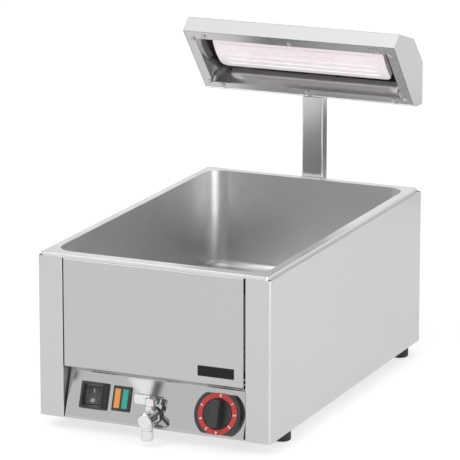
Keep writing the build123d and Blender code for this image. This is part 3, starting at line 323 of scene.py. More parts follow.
def split_place(tree, place):
    """A place's X, Y and Z outputs."""
    split = tree.nodes.new("ShaderNodeSeparateXYZ")
    wire(tree, place, split.inputs[0])
    return split.outputs


def noise_node(tree, vector, scale, detail, roughness=0.5):
    """A noise texture on a vector socket."""
    noise = tree.nodes.new("ShaderNodeTexNoise")
    set_inputs(noise, {"Scale": scale, "Detail": detail, "Roughness": roughness})
    wire(tree, vector, noise.inputs["Vector"])
    return noise.outputs["Fac"]


def mapping_node(tree, vector, scale):
    """A mapping that stretches a pattern."""
    mapping = tree.nodes.new("ShaderNodeMapping")
    set_inputs(mapping, {"Scale": scale})
    wire(tree, vector, mapping.inputs["Vector"])
    return mapping.outputs["Vector"]


def range_node(tree, value, low, high, from_low=0.0, from_high=1.0):
    """Maps a value to a range, clamped."""
    node = tree.nodes.new("ShaderNodeMapRange")
    set_inputs(node, {"From Min": from_low, "From Max": from_high, "To Min": low, "To Max": high})
    wire(tree, value, node.inputs["Value"])
    return node.outputs["Result"]


def mix_value(tree, factor, first, second):
    """Mixes two plain values; each may be a socket or a number."""
    node = tree.nodes.new("ShaderNodeMix")
    node.data_type = "FLOAT"
    for key, value in ((0, factor), (2, first), (3, second)):
        feed(tree, value, node.inputs[key])
    return node.outputs[0]


def mix_colour(tree, factor, first, second, blend="MIX"):
    """Mixes two colours; each may be a socket or a value."""
    node = tree.nodes.new("ShaderNodeMix")
    node.data_type = "RGBA"
    node.blend_type = blend
    for key, value in ((0, factor), (6, first), (7, second)):
        feed(tree, value, node.inputs[key])
    return node.outputs[2]


def maths(tree, operation, first, second=0.0):
    """A math node on sockets or values."""
    node = tree.nodes.new("ShaderNodeMath")
    node.operation = operation
    for index, value in enumerate((first, second)):
        feed(tree, value, node.inputs[index])
    return node.outputs[0]


def new_group(name, inputs):
    """A shader node group with the given sockets in, and a colour, a roughness and a height out."""
    group = bpy.data.node_groups.new(name, "ShaderNodeTree")
    kinds = {"float": "NodeSocketFloat", "colour": "NodeSocketColor", "vector": "NodeSocketVector"}
    for socket_name, kind, value in inputs:
        socket = group.interface.new_socket(socket_name, in_out="INPUT", socket_type=kinds[kind])
        socket.default_value = value
    for socket_name, kind in (("Colour", "colour"), ("Roughness", "float"), ("Height", "float")):
        group.interface.new_socket(socket_name, in_out="OUTPUT", socket_type=kinds[kind])
    enter = group.nodes.new("NodeGroupInput")
    leave = group.nodes.new("NodeGroupOutput")
    return group, enter, leave


def build_grain_group():
    """Brushed grain: long fine scratches along the sheet, with cloudy handling marks over them."""
    group, enter, leave = new_group(
        "brushed_grain",
        [("Stretch", "vector", (12.0, 12.0, 900.0)), ("Colour", "colour", (0.6, 0.6, 0.6, 1)),
         ("Grain", "float", 0.06), ("Roughness", "float", 0.3), ("Cloud", "float", 0.05)],
    )
    place = object_place(group)
    stretch = group.nodes.new("ShaderNodeVectorMath")
    stretch.operation = "MULTIPLY"
    wire(group, place, stretch.inputs[0])
    wire(group, enter.outputs["Stretch"], stretch.inputs[1])
    fine = noise_node(group, stretch.outputs["Vector"], 1.0, 4, 0.6)
    cloud = noise_node(group, place, 9.0, 3)
    fine_shade = maths(group, "SUBTRACT", fine, 0.5)
    cloud_shade = maths(group, "SUBTRACT", cloud, 0.5)
    shade = maths(
        group, "ADD",
        maths(group, "MULTIPLY", fine_shade, enter.outputs["Grain"]),
        maths(group, "MULTIPLY", cloud_shade, enter.outputs["Cloud"]),
    )
    factor = maths(group, "ADD", shade, 1.0)
    combine = group.nodes.new("ShaderNodeCombineColor")
    for channel in ("Red", "Green", "Blue"):
        wire(group, factor, combine.inputs[channel])
    tinted = mix_colour(group, 1.0, enter.outputs["Colour"], combine.outputs["Color"], "MULTIPLY")
    wire(group, tinted, leave.inputs["Colour"])
    uneven = maths(
        group, "ADD",
        maths(group, "MULTIPLY", fine_shade, 0.12),
        maths(group, "MULTIPLY", cloud_shade, 0.1),
    )
    wire(group, maths(group, "ADD", enter.outputs["Roughness"], uneven), leave.inputs["Roughness"])
    wire(group, fine, leave.inputs["Height"])
    return group


def build_mould_group():
    """Moulded plastic: a fine pebbled skin with faint dust."""
    group, enter, leave = new_group(
        "moulded_skin",
        [("Colour", "colour", (0.03, 0.03, 0.03, 1)), ("Roughness", "float", 0.45), ("Dust", "float", 0.02)],
    )
    place = object_place(group)
    pebble = noise_node(group, place, 2600.0, 2)
    dust = noise_node(group, place, 60.0, 5, 0.7)
    dust_share = maths(group, "MULTIPLY", range_node(group, dust, 0.0, 1.0, 0.45, 0.8), enter.outputs["Dust"])
    dusty = mix_colour(group, dust_share, enter.outputs["Colour"], (0.6, 0.58, 0.55, 1))
    wire(group, dusty, leave.inputs["Colour"])
    rough = maths(group, "ADD", enter.outputs["Roughness"], maths(group, "MULTIPLY", dust, 0.12))
    wire(group, rough, leave.inputs["Roughness"])
    wire(group, pebble, leave.inputs["Height"])
    return group


# Finishes

groups = {}
finishes = {}


def principled(name):
    """A new material with its tree and Principled shader."""
    material = bpy.data.materials.new(name)
    material.use_nodes = True
    shader = material.node_tree.nodes["Principled BSDF"]
    return material, material.node_tree, shader


def add_bump(tree, height, strength, distance, target):
    """A bump whose normal goes to the target socket."""
    bump = tree.nodes.new("ShaderNodeBump")
    set_inputs(bump, {"Strength": strength, "Distance": distance})
    wire(tree, height, bump.inputs["Height"])
    wire(tree, bump.outputs["Normal"], target)
    return bump


def dress_with_group(tree, shader, group, values, strength, distance):
    """Places a node group in a material, with its values, and gives the shader what it puts out."""
    node = tree.nodes.new("ShaderNodeGroup")
    node.node_tree = group
    set_inputs(node, values)
    wire(tree, node.outputs["Colour"], shader.inputs["Base Color"])
    wire(tree, node.outputs["Roughness"], shader.inputs["Roughness"])
    return add_bump(tree, node.outputs["Height"], strength, distance, shader.inputs["Normal"])


def steel(name, colour, roughness, stretch, grain=0.06, cloud=0.05, waves=0.0):
    """Brushed or pressed stainless steel; waves bend a pressed sheet's reflections softly."""
    material, tree, shader = principled(name)
    values = {
        "Stretch": stretch, "Colour": (*colour, 1), "Grain": grain, "Roughness": roughness, "Cloud": cloud,
    }
    fine = dress_with_group(tree, shader, groups["grain"], values, 0.25, 0.00002)
    set_inputs(shader, {"Metallic": 1.0})
    if waves:
        swell = noise_node(tree, mapping_node(tree, object_place(tree), (1.0, 1.0, 0.35)), 14.0, 1)
        add_bump(tree, swell, waves, 0.004, fine.inputs["Normal"])
    return material


def polished_below(material, height, low_roughness):
    """Makes a steel smoother below a height, as on the fascia under the front panel's ledge."""
    tree = material.node_tree
    shader = tree.nodes["Principled BSDF"]
    usual = shader.inputs["Roughness"].links[0].from_socket
    share = range_node(tree, split_place(tree, object_place(tree))["Z"], 0.0, 1.0, height - MM, height)
    wire(tree, mix_value(tree, share, low_roughness, usual), shader.inputs["Roughness"])


def moulded(name, colour, roughness, dust, skin):
    """Moulded plastic or rubber."""
    material, tree, shader = principled(name)
    values = {"Colour": (*colour, 1), "Roughness": roughness, "Dust": dust}
    dress_with_group(tree, shader, groups["mould"], values, skin, 0.00004)
    return material


def lens(name, colour):
    """Translucent coloured plastic with fine prism lines behind its face, and a faint painted glow in its own
    colour.
    """
    material, tree, shader = principled(name)
    wave = tree.nodes.new("ShaderNodeTexWave")
    wave.bands_direction = "Z"
    set_inputs(wave, {"Scale": 320.0, "Distortion": 0.0})
    wire(tree, object_place(tree), wave.inputs["Vector"])
    deep = tuple(LENS_LINES * part for part in colour)
    shade = mix_colour(tree, wave.outputs["Fac"], (*deep, 1), (*colour, 1))
    wire(tree, shade, shader.inputs["Base Color"])
    wire(tree, shade, shader.inputs["Emission Color"])
    # The weak emission is a painted glow: the lens shines faintly in its own colour
    set_inputs(shader, {
        "Roughness": 0.22, "Coat Weight": 0.6, "Coat Roughness": 0.05, "Emission Strength": 0.12,
    })
    add_bump(tree, wave.outputs["Fac"], 0.15, 0.0001, shader.inputs["Normal"])
    return material


def ceramic(name, colour, low, high):
    """Satin glazed ceramic between two heights, pinker towards its top and where the glaze is thin."""
    material, tree, shader = principled(name)
    place = object_place(tree)
    cloud = noise_node(tree, place, 26.0, 4)
    thin = maths(tree, "MULTIPLY", range_node(tree, cloud, 0.0, 1.0, 0.35, 0.65), 0.25)
    share = maths(tree, "ADD", thin, range_node(tree, split_place(tree, place)["Z"], 0.0, 0.75, low, high))
    pink = [part * thinned for part, thinned in zip(colour, THIN_GLAZE)]
    wire(tree, mix_colour(tree, share, (*colour, 1), (*pink, 1)), shader.inputs["Base Color"])
    wire(tree, range_node(tree, cloud, 0.28, 0.42), shader.inputs["Roughness"])
    add_bump(tree, noise_node(tree, place, 900.0, 2), 0.12, 0.00005, shader.inputs["Normal"])
    set_inputs(shader, {"Coat Weight": 0.25, "Coat Roughness": 0.2})
    return material


def plated(name, colour, roughness):
    """Bright plating or polished metal, with faint handling marks."""
    material, tree, shader = principled(name)
    cloud = noise_node(tree, object_place(tree), 140.0, 4)
    dull = tuple(DULLED * part for part in colour)
    shade = mix_colour(tree, range_node(tree, cloud, 0.0, 1.0, 0.4, 0.7), (*colour, 1), (*dull, 1))
    wire(tree, shade, shader.inputs["Base Color"])
    wire(tree, range_node(tree, cloud, roughness, roughness + 0.08), shader.inputs["Roughness"])
    set_inputs(shader, {"Metallic": 1.0})
    return material


def clear_plastic(name):
    """Thin clear flexible cover."""
    material, tree, shader = principled(name)
    cloud = noise_node(tree, object_place(tree), 180.0, 3)
    wire(tree, range_node(tree, cloud, 0.04, 0.16), shader.inputs["Roughness"])
    set_inputs(shader, {
        "Base Color": (0.95, 0.95, 0.95, 1), "Transmission Weight": 1.0, "IOR": 1.35, "Alpha": 0.3,
    })
    return material


def wool(name):
    """Fibrous mineral wool."""
    material, tree, shader = principled(name)
    fibre = noise_node(tree, mapping_node(tree, object_place(tree), (500, 500, 60)), 1.0, 5, 0.7)
    shade = mix_colour(tree, fibre, (0.36, 0.33, 0.25, 1), (0.72, 0.68, 0.56, 1))
    wire(tree, shade, shader.inputs["Base Color"])
    set_inputs(shader, {"Roughness": 0.95})
    add_bump(tree, fibre, 0.6, 0.0006, shader.inputs["Normal"])
    return material


def make_finishes(look):
    """Builds the shader groups and every material, named for the record's slots."""
    groups["grain"] = build_grain_group()
    groups["mould"] = build_mould_group()
    along_x = (14.0, 300.0, 1100.0)
    # Steels by colour, roughness and the stretch of their grain, then grain, cloud and waves
    steels = {
        "casing_steel": (look.steel_colour, look.steel_roughness, along_x),
        "tank_steel": (look.tank_colour, 0.34, (40.0, 40.0, 700.0), 0.04, 0.06, 0.6),
        "hood_steel": (look.steel_colour, 0.27, (14.0, 700.0, 1000.0)),
        # The front panel's copy of the steel is darkened as painted shade, the column's brightened as painted
        # light
        "panel_steel": ([PANEL_PAINTED_SHADE * part for part in look.steel_colour], look.steel_roughness, along_x),
        "column_steel": ([COLUMN_PAINTED_LIGHT * part for part in look.steel_colour], 0.24, (1100.0, 900.0, 12.0)),
        "heater_sheath": ((0.3, 0.27, 0.25), 0.45, (300.0, 300.0, 300.0), 0.3, 0.3),
    }
    for make, table in ((steel, steels), (plated, PLATED), (moulded, MOULDED)):
        for name, values in table.items():
            finishes[name] = make(name, *values)
    polished_below(finishes["panel_steel"], CASING_BOTTOM + LEDGE_HEIGHT, FASCIA_ROUGHNESS)
    badge_shader = finishes["badge_black"].node_tree.nodes["Principled BSDF"]
    set_inputs(badge_shader, {"Specular IOR Level": BADGE_SPECULAR})
    finishes["red_plastic"] = moulded("red_plastic", look.dial_colour, *DIAL_PRINT)
    finishes["amber_plastic"] = lens("amber_plastic", look.amber_colour)
    finishes["green_plastic"] = lens("green_plastic", look.green_colour)
    finishes["clear_plastic"] = clear_plastic("clear_plastic")
    low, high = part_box("ceramic_emitter")
    finishes["white_ceramic"] = ceramic("white_ceramic", look.ceramic_colour, low[2], high[2])
    finishes["mineral_wool"] = wool("mineral_wool")


# Meshes


def give(obj, material):
    """Gives an object one material in all its slots."""
    obj.data.materials.clear()
    obj.data.materials.append(material)


def new_piece(name, mesh, material, body):
    """Links a mesh as a named piece that rides on a body."""
    piece = bpy.data.objects.new(name, mesh)
    bpy.context.scene.collection.objects.link(piece)
    give(piece, material)
    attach(piece, body)


def mesh_of(name, build, matrix=None, smooth=True):
    """A mesh made by a bmesh function, then put in its place."""
    work = bmesh.new()
    build(work)
    bmesh.ops.remove_doubles(work, verts=work.verts, dist=1e-7)
    bmesh.ops.recalc_face_normals(work, faces=work.faces)
    if matrix is not None:
        work.transform(matrix)
    mesh = bpy.data.meshes.new(name)
    work.to_mesh(mesh)
    work.free()
    for face in mesh.polygons:
        face.use_smooth = smooth
    return mesh


def circle(work, radius, height, steps, shift=0.0):
    """A ring of points about local z, turned by a share of one step."""
    angles = [2 * math.pi * (step + shift) / steps for step in range(steps)]
    return [work.verts.new((radius * math.cos(angle), radius * math.sin(angle), height)) for angle in angles]


def bridge(work, low, high):
    """Four-sided faces between two rings of as many points."""
    for step in range(len(low)):
        after = (step + 1) % len(low)
        work.faces.new((low[step], low[after], high[after], high[step]))


def lathe(work, profile, steps):
    """Turns a profile of (radius, height) points about local z; a radius of 0 closes it in one point."""
    rings = [
        circle(work, radius, height, steps) if radius else [work.verts.new((0, 0, height))]
        for radius, height in profile
    ]
    for low, high in zip(rings, rings[1:]):
        for step in range(steps):
            after = (step + 1) % steps
            corners = [
                low[step % len(low)], low[after % len(low)],
                high[after % len(high)], high[step % len(high)],
            ]
            work.faces.new(list(dict.fromkeys(corners)))


def rounded_plate(work, width, height, thickness, radius, edge, steps=6):
    """A plate with rounded corners and a softened front edge, its back at local z 0."""
    def outline(inset, level):
        ring = []
        for corner, (side_x, side_y) in enumerate(((1, 1), (-1, 1), (-1, -1), (1, -1))):
            centre_x = side_x * (width / 2 - radius)
            centre_y = side_y * (height / 2 - radius)
            for step in range(steps + 1):
                angle = math.pi / 2 * (corner + step / steps)
                reach = radius - inset
                ring.append(work.verts.new((
                    centre_x + reach * math.cos(angle), centre_y + reach * math.sin(angle), level,
                )))
        return ring

    rings = [outline(0, 0), outline(0, thickness - edge), outline(edge * 0.3, thickness - edge * 0.3),
             outline(edge, thickness)]
    for low, high in zip(rings, rings[1:]):
        bridge(work, low, high)
    work.faces.new(rings[0][::-1])
    work.faces.new(rings[-1])


def flat_ring(work, outer, inner, depth, steps=32):
    """A flat printed ring, standing on local z 0."""
    lathe(work, [(inner, 0), (outer, 0), (outer, depth), (inner, depth), (inner, 0)], steps)


def screw(work, radius):
    """A pan head with a cross recess, on its shank."""
    rings = [
        circle(work, share * radius, level * SCREW_CROWN, SCREW_STEPS, 0.5) for share, level in SCREW_RINGS
    ]
    for low, high in zip(rings, rings[1:]):
        bridge(work, low, high)
    # The recess is cut as a plus in the crown's top ring of points
    arm, half = (share * radius for share in SCREW_CROSS)
    taper = SCREW_CROSS_TAPER
    plus = [(arm, half), (half, half), (half, arm), (-half, arm), (-half, half), (-arm, half),
            (-arm, -half), (-half, -half), (-half, -arm), (half, -arm), (half, -half), (arm, -half)]
    top = [work.verts.new((x, y, SCREW_CROWN)) for x, y in plus]
    floor = [work.verts.new((taper * x, taper * y, SCREW_CROWN - SCREW_RECESS)) for x, y in plus]
    edges = []
    for loop in (rings[-1], top):
        for pair in zip(loop, loop[1:] + loop[:1]):
            edges.append(work.edges.get(pair) or work.edges.new(pair))
    bmesh.ops.triangle_fill(work, edges=edges, use_beauty=True)
    bridge(work, top, floor)
    work.faces.new(floor)
    shank = SCREW_SHANK_SHARE * radius
    neck, end = (circle(work, shank, level, SCREW_STEPS, 0.5) for level in (0, -SCREW_SHANK))
    bridge(work, rings[0], neck)
    bridge(work, neck, end)
    work.faces.new(end)


def text_mesh(text, height, depth):
    """Plain letters as a mesh, centred on local x and y, standing on z 0."""
    curve = bpy.data.curves.new("letters", "FONT")
    curve.body = text
    curve.size = height / CAP_SHARE
    curve.align_x = "CENTER"
    curve.align_y = "CENTER"
    curve.extrude = depth / 2
    curve.offset = LETTER_SWELL
    curve.resolution_u = 3
    holder = bpy.data.objects.new("letters", curve)
    bpy.context.scene.collection.objects.link(holder)
    bpy.context.view_layer.update()
    mesh = bpy.data.meshes.new_from_object(holder.evaluated_get(bpy.context.evaluated_depsgraph_get()))
    bpy.data.objects.remove(holder)
    bpy.data.curves.remove(curve)
    mesh.transform(Matrix.Translation((0, 0, depth / 2)))
    return mesh


def join_meshes(name, placed):
    """One mesh from several (mesh, matrix) pairs."""
    work = bmesh.new()
    for mesh, matrix in placed:
        mesh.transform(matrix)
        work.from_mesh(mesh)
    whole = bpy.data.meshes.new(name)
    work.to_mesh(whole)
    work.free()
    return whole


def build_repeat_tree(pattern, material):
    """A geometry node tree that stands a pattern object on every point, each turned a little differently."""
    tree = bpy.data.node_groups.new("repeat_on_points", "GeometryNodeTree")
    tree.interface.new_socket("Geometry", in_out="INPUT", socket_type="NodeSocketGeometry")
    turn = tree.interface.new_socket("Turn", in_out="INPUT", socket_type="NodeSocketFloat")
    turn.default_value = 0.5
    tree.interface.new_socket("Geometry", in_out="OUTPUT", socket_type="NodeSocketGeometry")
    enter = tree.nodes.new("NodeGroupInput")
    leave = tree.nodes.new("NodeGroupOutput")
    points = tree.nodes.new("GeometryNodeMeshToPoints")
    info = tree.nodes.new("GeometryNodeObjectInfo")
    set_inputs(info, {"Object": pattern})
    spread = tree.nodes.new("FunctionNodeRandomValue")
    set_inputs(spread, {"Seed": SCREW_SEED})
    angle = tree.nodes.new("ShaderNodeMath")
    angle.operation = "MULTIPLY"
    turned = tree.nodes.new("ShaderNodeCombineXYZ")
    stand = tree.nodes.new("GeometryNodeInstanceOnPoints")
    real = tree.nodes.new("GeometryNodeRealizeInstances")
    paint = tree.nodes.new("GeometryNodeSetMaterial")
    set_inputs(paint, {"Material": material})
    for source, target in (
        (enter.outputs["Geometry"], points.inputs["Mesh"]),
        (points.outputs["Points"], stand.inputs["Points"]),
        (info.outputs["Geometry"], stand.inputs["Instance"]),
        (spread.outputs[1], angle.inputs[0]),
        (enter.outputs["Turn"], angle.inputs[1]),
        (angle.outputs[0], turned.inputs["Z"]),
        (turned.outputs["Vector"], stand.inputs["Rotation"]),
        (stand.outputs["Instances"], real.inputs["Geometry"]),
        (real.outputs["Geometry"], paint.inputs["Geometry"]),
        (paint.outputs["Geometry"], leave.inputs["Geometry"]),
    ):
        wire(tree, source, target)
    return tree


# Operators


class WARMER_OT_finish_frame(bpy.types.Operator):
    """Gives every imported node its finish"""

    bl_idname = "warmer.finish_frame"
    bl_label = "Finish the frame"

    def execute(self, context):
        make_finishes(context.scene.warmer_finish)
        for row in frame["record"]["subparts"]:
            give(nodes[row["node"]], finishes[row["material_slot"]])
        give(nodes["column"], finishes["column_steel"])
        give(nodes["front_panel"], finishes["panel_steel"])
        return {"FINISHED"}


class WARMER_OT_badge(bpy.types.Operator):
    """Adds the bare black plate on the front panel"""

    bl_idname = "warmer.badge"
    bl_label = "Bare plate"

    def execute(self, context):
        thickness = context.scene.warmer_sizes.badge_thickness
        place = Matrix.Translation((BADGE_CENTRE[0], FRONT_Y, CASING_BOTTOM + BADGE_CENTRE[1]))
        mesh = mesh_of(
            "bare_plate",
            lambda work: rounded_plate(work, *BADGE_SIZE, thickness, BADGE_CORNER, BADGE_EDGE),
            place @ Matrix.Rotation(math.radians(90), 4, "X"), smooth=False,
        )
        new_piece("bare_plate", mesh, finishes["badge_black"], "casing")
        return {"FINISHED"}


class WARMER_OT_dial_marks(bpy.types.Operator):
    """Adds the dial ring's numbers and the knob's pointer"""

    bl_idname = "warmer.dial_marks"
    bl_label = "Dial marks"

    def execute(self, context):
        height = context.scene.warmer_sizes.numeral_height
        ring = fascia_matrix(*KNOB_PLACE, BEZEL_HEIGHT)
        away = Matrix.Translation((0, DIAL_RADIUS, 0))
        placed = []
        for number, clock in DIAL_NUMBERS.items():
            turn = Matrix.Rotation(math.radians(-clock), 4, "Z")
            placed.append((text_mesh(number, height, LETTER_DEPTH), ring @ turn @ away))
        mesh = join_meshes("dial_numbers", placed)
        new_piece("dial_numbers", mesh, finishes["white_print"], "casing")
        dot = mesh_of(
            "knob_pointer", lambda work: lathe(work, POINTER_PROFILE, 24),
            fascia_matrix(KNOB_PLACE[0], KNOB_PLACE[1] + POINTER_REACH, KNOB_HEIGHT),
        )
        new_piece("knob_pointer", dot, finishes["black_plastic"], "knob")
        return {"FINISHED"}


class WARMER_OT_switch_marks(bpy.types.Operator):
    """Adds the rocker's on and off marks, which ride on the rocker"""

    bl_idname = "warmer.switch_marks"
    bl_label = "Switch marks"

    def execute(self, context):
        pivot = fascia_matrix(*SWITCH_PLACE, ROCKER_PIVOT) @ Matrix.Rotation(-ROCKER_TILT, 4, "X")
        bar = mesh_of(
            "on_mark",
            lambda work: rounded_plate(work, *ON_BAR, MARK_DEPTH, ON_BAR_CORNER, ON_BAR_EDGE),
            smooth=False,
        )
        ring = mesh_of("off_mark", lambda work: flat_ring(work, *OFF_RING, MARK_DEPTH), smooth=False)
        # The rocker's face is hollow, so each mark leans with it
        slope = math.atan2(ROCKER_RISE, ROCKER_HALF)
        places = []
        for mesh, side in ((bar, 1), (ring, -1)):
            along = side * MARK_SHARE * ROCKER_HALF
            height = ROCKER_DIP + ROCKER_RISE * (along / ROCKER_HALF) ** 2 - MARK_SINK
            tip = Matrix.Rotation(side * slope * MARK_LEAN, 4, "X")
            places.append((mesh, pivot @ Matrix.Translation((0, along, height)) @ tip))
        marks = join_meshes("switch_marks", places)
        new_piece("switch_marks", marks, finishes["white_print"], "rocker")
        return {"FINISHED"}


class WARMER_OT_strip_screws(bpy.types.Operator):
    """Makes the cross-headed screws round the lamp's opening"""

    bl_idname = "warmer.strip_screws"
    bl_label = "Strip screws"

    def execute(self, context):
        radius = context.scene.warmer_sizes.screw_head_radius
        pattern = mesh_of("screw_pattern", lambda work: screw(work, radius))
        head = bpy.data.objects.new("screw_pattern", pattern)
        context.scene.collection.objects.link(head)
        points = bpy.data.meshes.new("strip_screws")
        points.from_pydata([(across * MM, up * MM, 0) for across, up in STRIP_SCREWS], [], [])
        piece = bpy.data.objects.new("strip_screws", points)
        context.scene.collection.objects.link(piece)
        modifier = piece.modifiers.new("repeat", "NODES")
        modifier.node_group = build_repeat_tree(head, finishes["screw_steel"])
        sockets = modifier.node_group.interface.items_tree
        turn_socket = next(item.identifier for item in sockets if item.name == "Turn")
        modifier[turn_socket] = SCREW_TURN
        context.view_layer.update()
        result = piece.evaluated_get(context.evaluated_depsgraph_get())
        plain = bpy.data.meshes.new_from_object(result)
        piece.modifiers.clear()
        plain.transform(hood_matrix())
        plain.update()
        piece.data = plain
        give(piece, finishes["screw_steel"])
        for face in plain.polygons:
            face.use_smooth = True
        bpy.data.objects.remove(head)
        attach(piece, "casing")
        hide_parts("hood_strip_screws")
        return {"FINISHED"}


class WARMER_OT_stage(bpy.types.Operator):
    """Sets the floor, the light and the camera"""

    bl_idname = "warmer.stage"
    bl_label = "Stage"

    def execute(self, context):
        scene = context.scene
        scene.view_settings.view_transform = "Standard"
        self.add_floor(scene)
        self.light_world(scene)
        for lamp in LAMPS:
            self.add_lamp(scene, *lamp)
        self.add_card(scene, "column_card", COLUMN_CARD, COLUMN_CARD_LEVEL)
        lift = Vector((0, 0, SIDE_CARD_HEIGHT))
        for name, (across, deep), half, level in SIDE_CARDS:
            aside = Vector((-deep, across, 0)).normalized() * half
            foot = Vector((across, deep, 0))
            low, high = foot - aside, foot + aside
            self.add_card(scene, name, [low, high, high + lift, low + lift], level)
        for name, outline, level in FASCIA_MIRRORS:
            corners = [mirrored_place(across * MM, up * MM, MIRROR_REACH) for across, up in outline]
            self.add_card(scene, name, corners, level)
        self.add_camera(scene)
        return {"FINISHED"}

    def add_camera(self, scene):
        """The camera at the photograph's place and angle."""
        data = bpy.data.cameras.new("camera")
        data.sensor_width = SENSOR
        data.sensor_fit = "HORIZONTAL"
        data.lens = CAMERA_LENS
        data.clip_start = CLIP_NEAR
        data.clip_end = CLIP_FAR
        camera = bpy.data.objects.new("camera", data)
        camera.location = CAMERA_PLACE
        camera.rotation_euler = (math.pi / 2 - CAMERA_ELEVATION, 0, CAMERA_AZIMUTH)
        scene.collection.objects.link(camera)
        scene.camera = camera

    def add_floor(self, scene):
        """A pale floor that shows white but keeps the shadow."""
        mesh = bpy.data.meshes.new("floor")
        corners = [(x * FLOOR_HALF, y * FLOOR_HALF, 0) for x, y in ((-1, -1), (1, -1), (1, 1), (-1, 1))]
        mesh.from_pydata(corners, [], [(0, 1, 2, 3)])
        floor = bpy.data.objects.new("floor", mesh)
        floor.location.z = -FLOOR_DROP
        scene.collection.objects.link(floor)
        material = bpy.data.materials.new("floor_white")
        material.use_nodes = True
        tree = material.node_tree
        tree.nodes.clear()
        out = tree.nodes.new("ShaderNodeOutputMaterial")
        paths = tree.nodes.new("ShaderNodeLightPath")
        plain = tree.nodes.new("ShaderNodeBsdfDiffuse")
        set_inputs(plain, {"Color": FLOOR_COLOUR})
        weak = tree.nodes.new("ShaderNodeBsdfDiffuse")
        set_inputs(weak, {"Color": FLOOR_SHADE})
        glow = tree.nodes.new("ShaderNodeEmission")
        set_inputs(glow, {"Strength": FLOOR_GLOW})
        both = tree.nodes.new("ShaderNodeAddShader")
        seen = tree.nodes.new("ShaderNodeMixShader")
        wire(tree, weak.outputs[0], both.inputs[0])
        wire(tree, glow.outputs[0], both.inputs[1])
        looked = maths(tree, "MAXIMUM", paths.outputs["Is Camera Ray"], paths.outputs["Is Glossy Ray"])
        looked = maths(tree, "MAXIMUM", looked, paths.outputs["Is Transmission Ray"])
        wire(tree, looked, seen.inputs[0])
        wire(tree, plain.outputs[0], seen.inputs[1])
        wire(tree, both.outputs[0], seen.inputs[2])
        wire(tree, seen.outputs[0], out.inputs["Surface"])
        mesh.materials.append(material)

    def light_world(self, scene):
        """White behind the object; metal reflects a pale studio with a dim band and a bright top over it."""
        world = bpy.data.worlds.new("studio")
        scene.world = world
        world.use_nodes = True
        tree = world.node_tree
        tree.nodes.clear()
        out = tree.nodes.new("ShaderNodeOutputWorld")
        paths = tree.nodes.new("ShaderNodeLightPath")
        looked_in = split_place(tree, tree.nodes.new("ShaderNodeTexCoord").outputs["Generated"])
        low = range_node(tree, looked_in["Y"], FRONT_LEVEL, BACK_LEVEL, *FRONT_TO_BACK)
        band = range_node(tree, looked_in["Z"], 0.0, 1.0, *LOW_TO_BAND)
        top = range_node(tree, looked_in["Z"], 0.0, 1.0, *BAND_TO_OVERHEAD)
        mirrored = mix_value(tree, top, mix_value(tree, band, low, DIM_BAND), OVERHEAD)
        sky = mix_value(tree, paths.outputs["Is Diffuse Ray"], mirrored, SOFT_LIGHT)
        white = tree.nodes.new("ShaderNodeBackground")
        set_inputs(white, {"Color": (1, 1, 1, 1), "Strength": 1.0})
        soft = tree.nodes.new("ShaderNodeBackground")
        wire(tree, sky, soft.inputs["Strength"])
        pick = tree.nodes.new("ShaderNodeMixShader")
        seen = maths(tree, "MAXIMUM", paths.outputs["Is Camera Ray"], paths.outputs["Is Transmission Ray"])
        wire(tree, seen, pick.inputs[0])
        wire(tree, soft.outputs[0], pick.inputs[1])
        wire(tree, white.outputs[0], pick.inputs[2])
        wire(tree, pick.outputs[0], out.inputs["Surface"])

    def add_card(self, scene, name, corners, level):
        """A flat card of an even brightness that only the metal's reflections see."""
        mesh = bpy.data.meshes.new(name)
        mesh.from_pydata(corners, [], [range(len(corners))])
        card = bpy.data.objects.new(name, mesh)
        scene.collection.objects.link(card)
        material, _, shader = principled(name)
        set_inputs(shader, {
            "Base Color": (0, 0, 0, 1), "Specular IOR Level": 0.0,
            "Emission Color": (1, 1, 1, 1), "Emission Strength": level,
        })
        mesh.materials.append(material)
        card.visible_camera = False
        card.visible_diffuse = False
        card.visible_shadow = False
        card.visible_transmission = False

    def add_lamp(self, scene, name, place, target, size, watts, mirrored, lit_nodes):
        """A square soft lamp aimed at a point, kept to the nodes named, or lighting all where none is."""
        data = bpy.data.lights.new(name, "AREA")
        data.size = size
        data.energy = watts
        lamp = bpy.data.objects.new(name, data)
        lamp.location = place
        lamp.visible_glossy = mirrored
        aim = Vector(target) - Vector(place)
        lamp.rotation_euler = aim.to_track_quat("-Z", "Y").to_euler()
        scene.collection.objects.link(lamp)
        if lit_nodes:
            lit = bpy.data.collections.new(name + "_lit")
            for node in lit_nodes:
                lit.objects.link(nodes[node])
            lamp.light_linking.receiver_collection = lit


class WARMER_PT_panel(bpy.types.Panel):
    """Sizes, colours and the steps that build the chip warmer's dress"""

    bl_idname = "WARMER_PT_panel"
    bl_label = "Chip warmer"
    bl_space_type = "VIEW_3D"
    bl_region_type = "UI"
    bl_category = "Chip warmer"

    def draw(self, context):
        layout = self.layout
        for settings in (context.scene.warmer_finish, context.scene.warmer_sizes):
            box = layout.box()
            for key in settings.__annotations__:
                box.prop(settings, key)
        for operator in OPERATORS:
            layout.operator(operator.bl_idname)


OPERATORS = (
    WARMER_OT_stage,
    WARMER_OT_finish_frame,
    WARMER_OT_badge,
    WARMER_OT_dial_marks,
    WARMER_OT_switch_marks,
    WARMER_OT_strip_screws,
)
CLASSES = (WarmerFinish, WarmerSizes, *OPERATORS, WARMER_PT_panel)


def register():
    """Registers the classes and the scene's settings."""
    for cls in CLASSES:
        bpy.utils.register_class(cls)
    bpy.types.Scene.warmer_finish = bpy.props.PointerProperty(type=WarmerFinish)
    bpy.types.Scene.warmer_sizes = bpy.props.PointerProperty(type=WarmerSizes)


def unregister():
    """Takes the classes and settings away again."""
    del bpy.types.Scene.warmer_sizes
    del bpy.types.Scene.warmer_finish
    for cls in reversed(CLASSES):
        bpy.utils.unregister_class(cls)


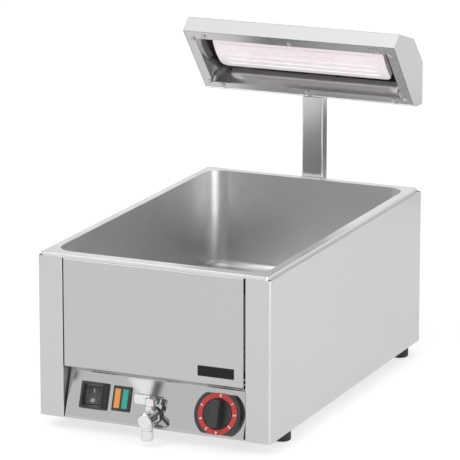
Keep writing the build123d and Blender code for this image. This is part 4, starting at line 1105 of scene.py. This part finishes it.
def main():
    register()
    bpy.ops.warmer.stage()
    bpy.ops.warmer.finish_frame()
    bpy.ops.warmer.badge()
    bpy.ops.warmer.dial_marks()
    bpy.ops.warmer.switch_marks()
    bpy.ops.warmer.strip_screws()


if __name__ == "__main__":
    main()
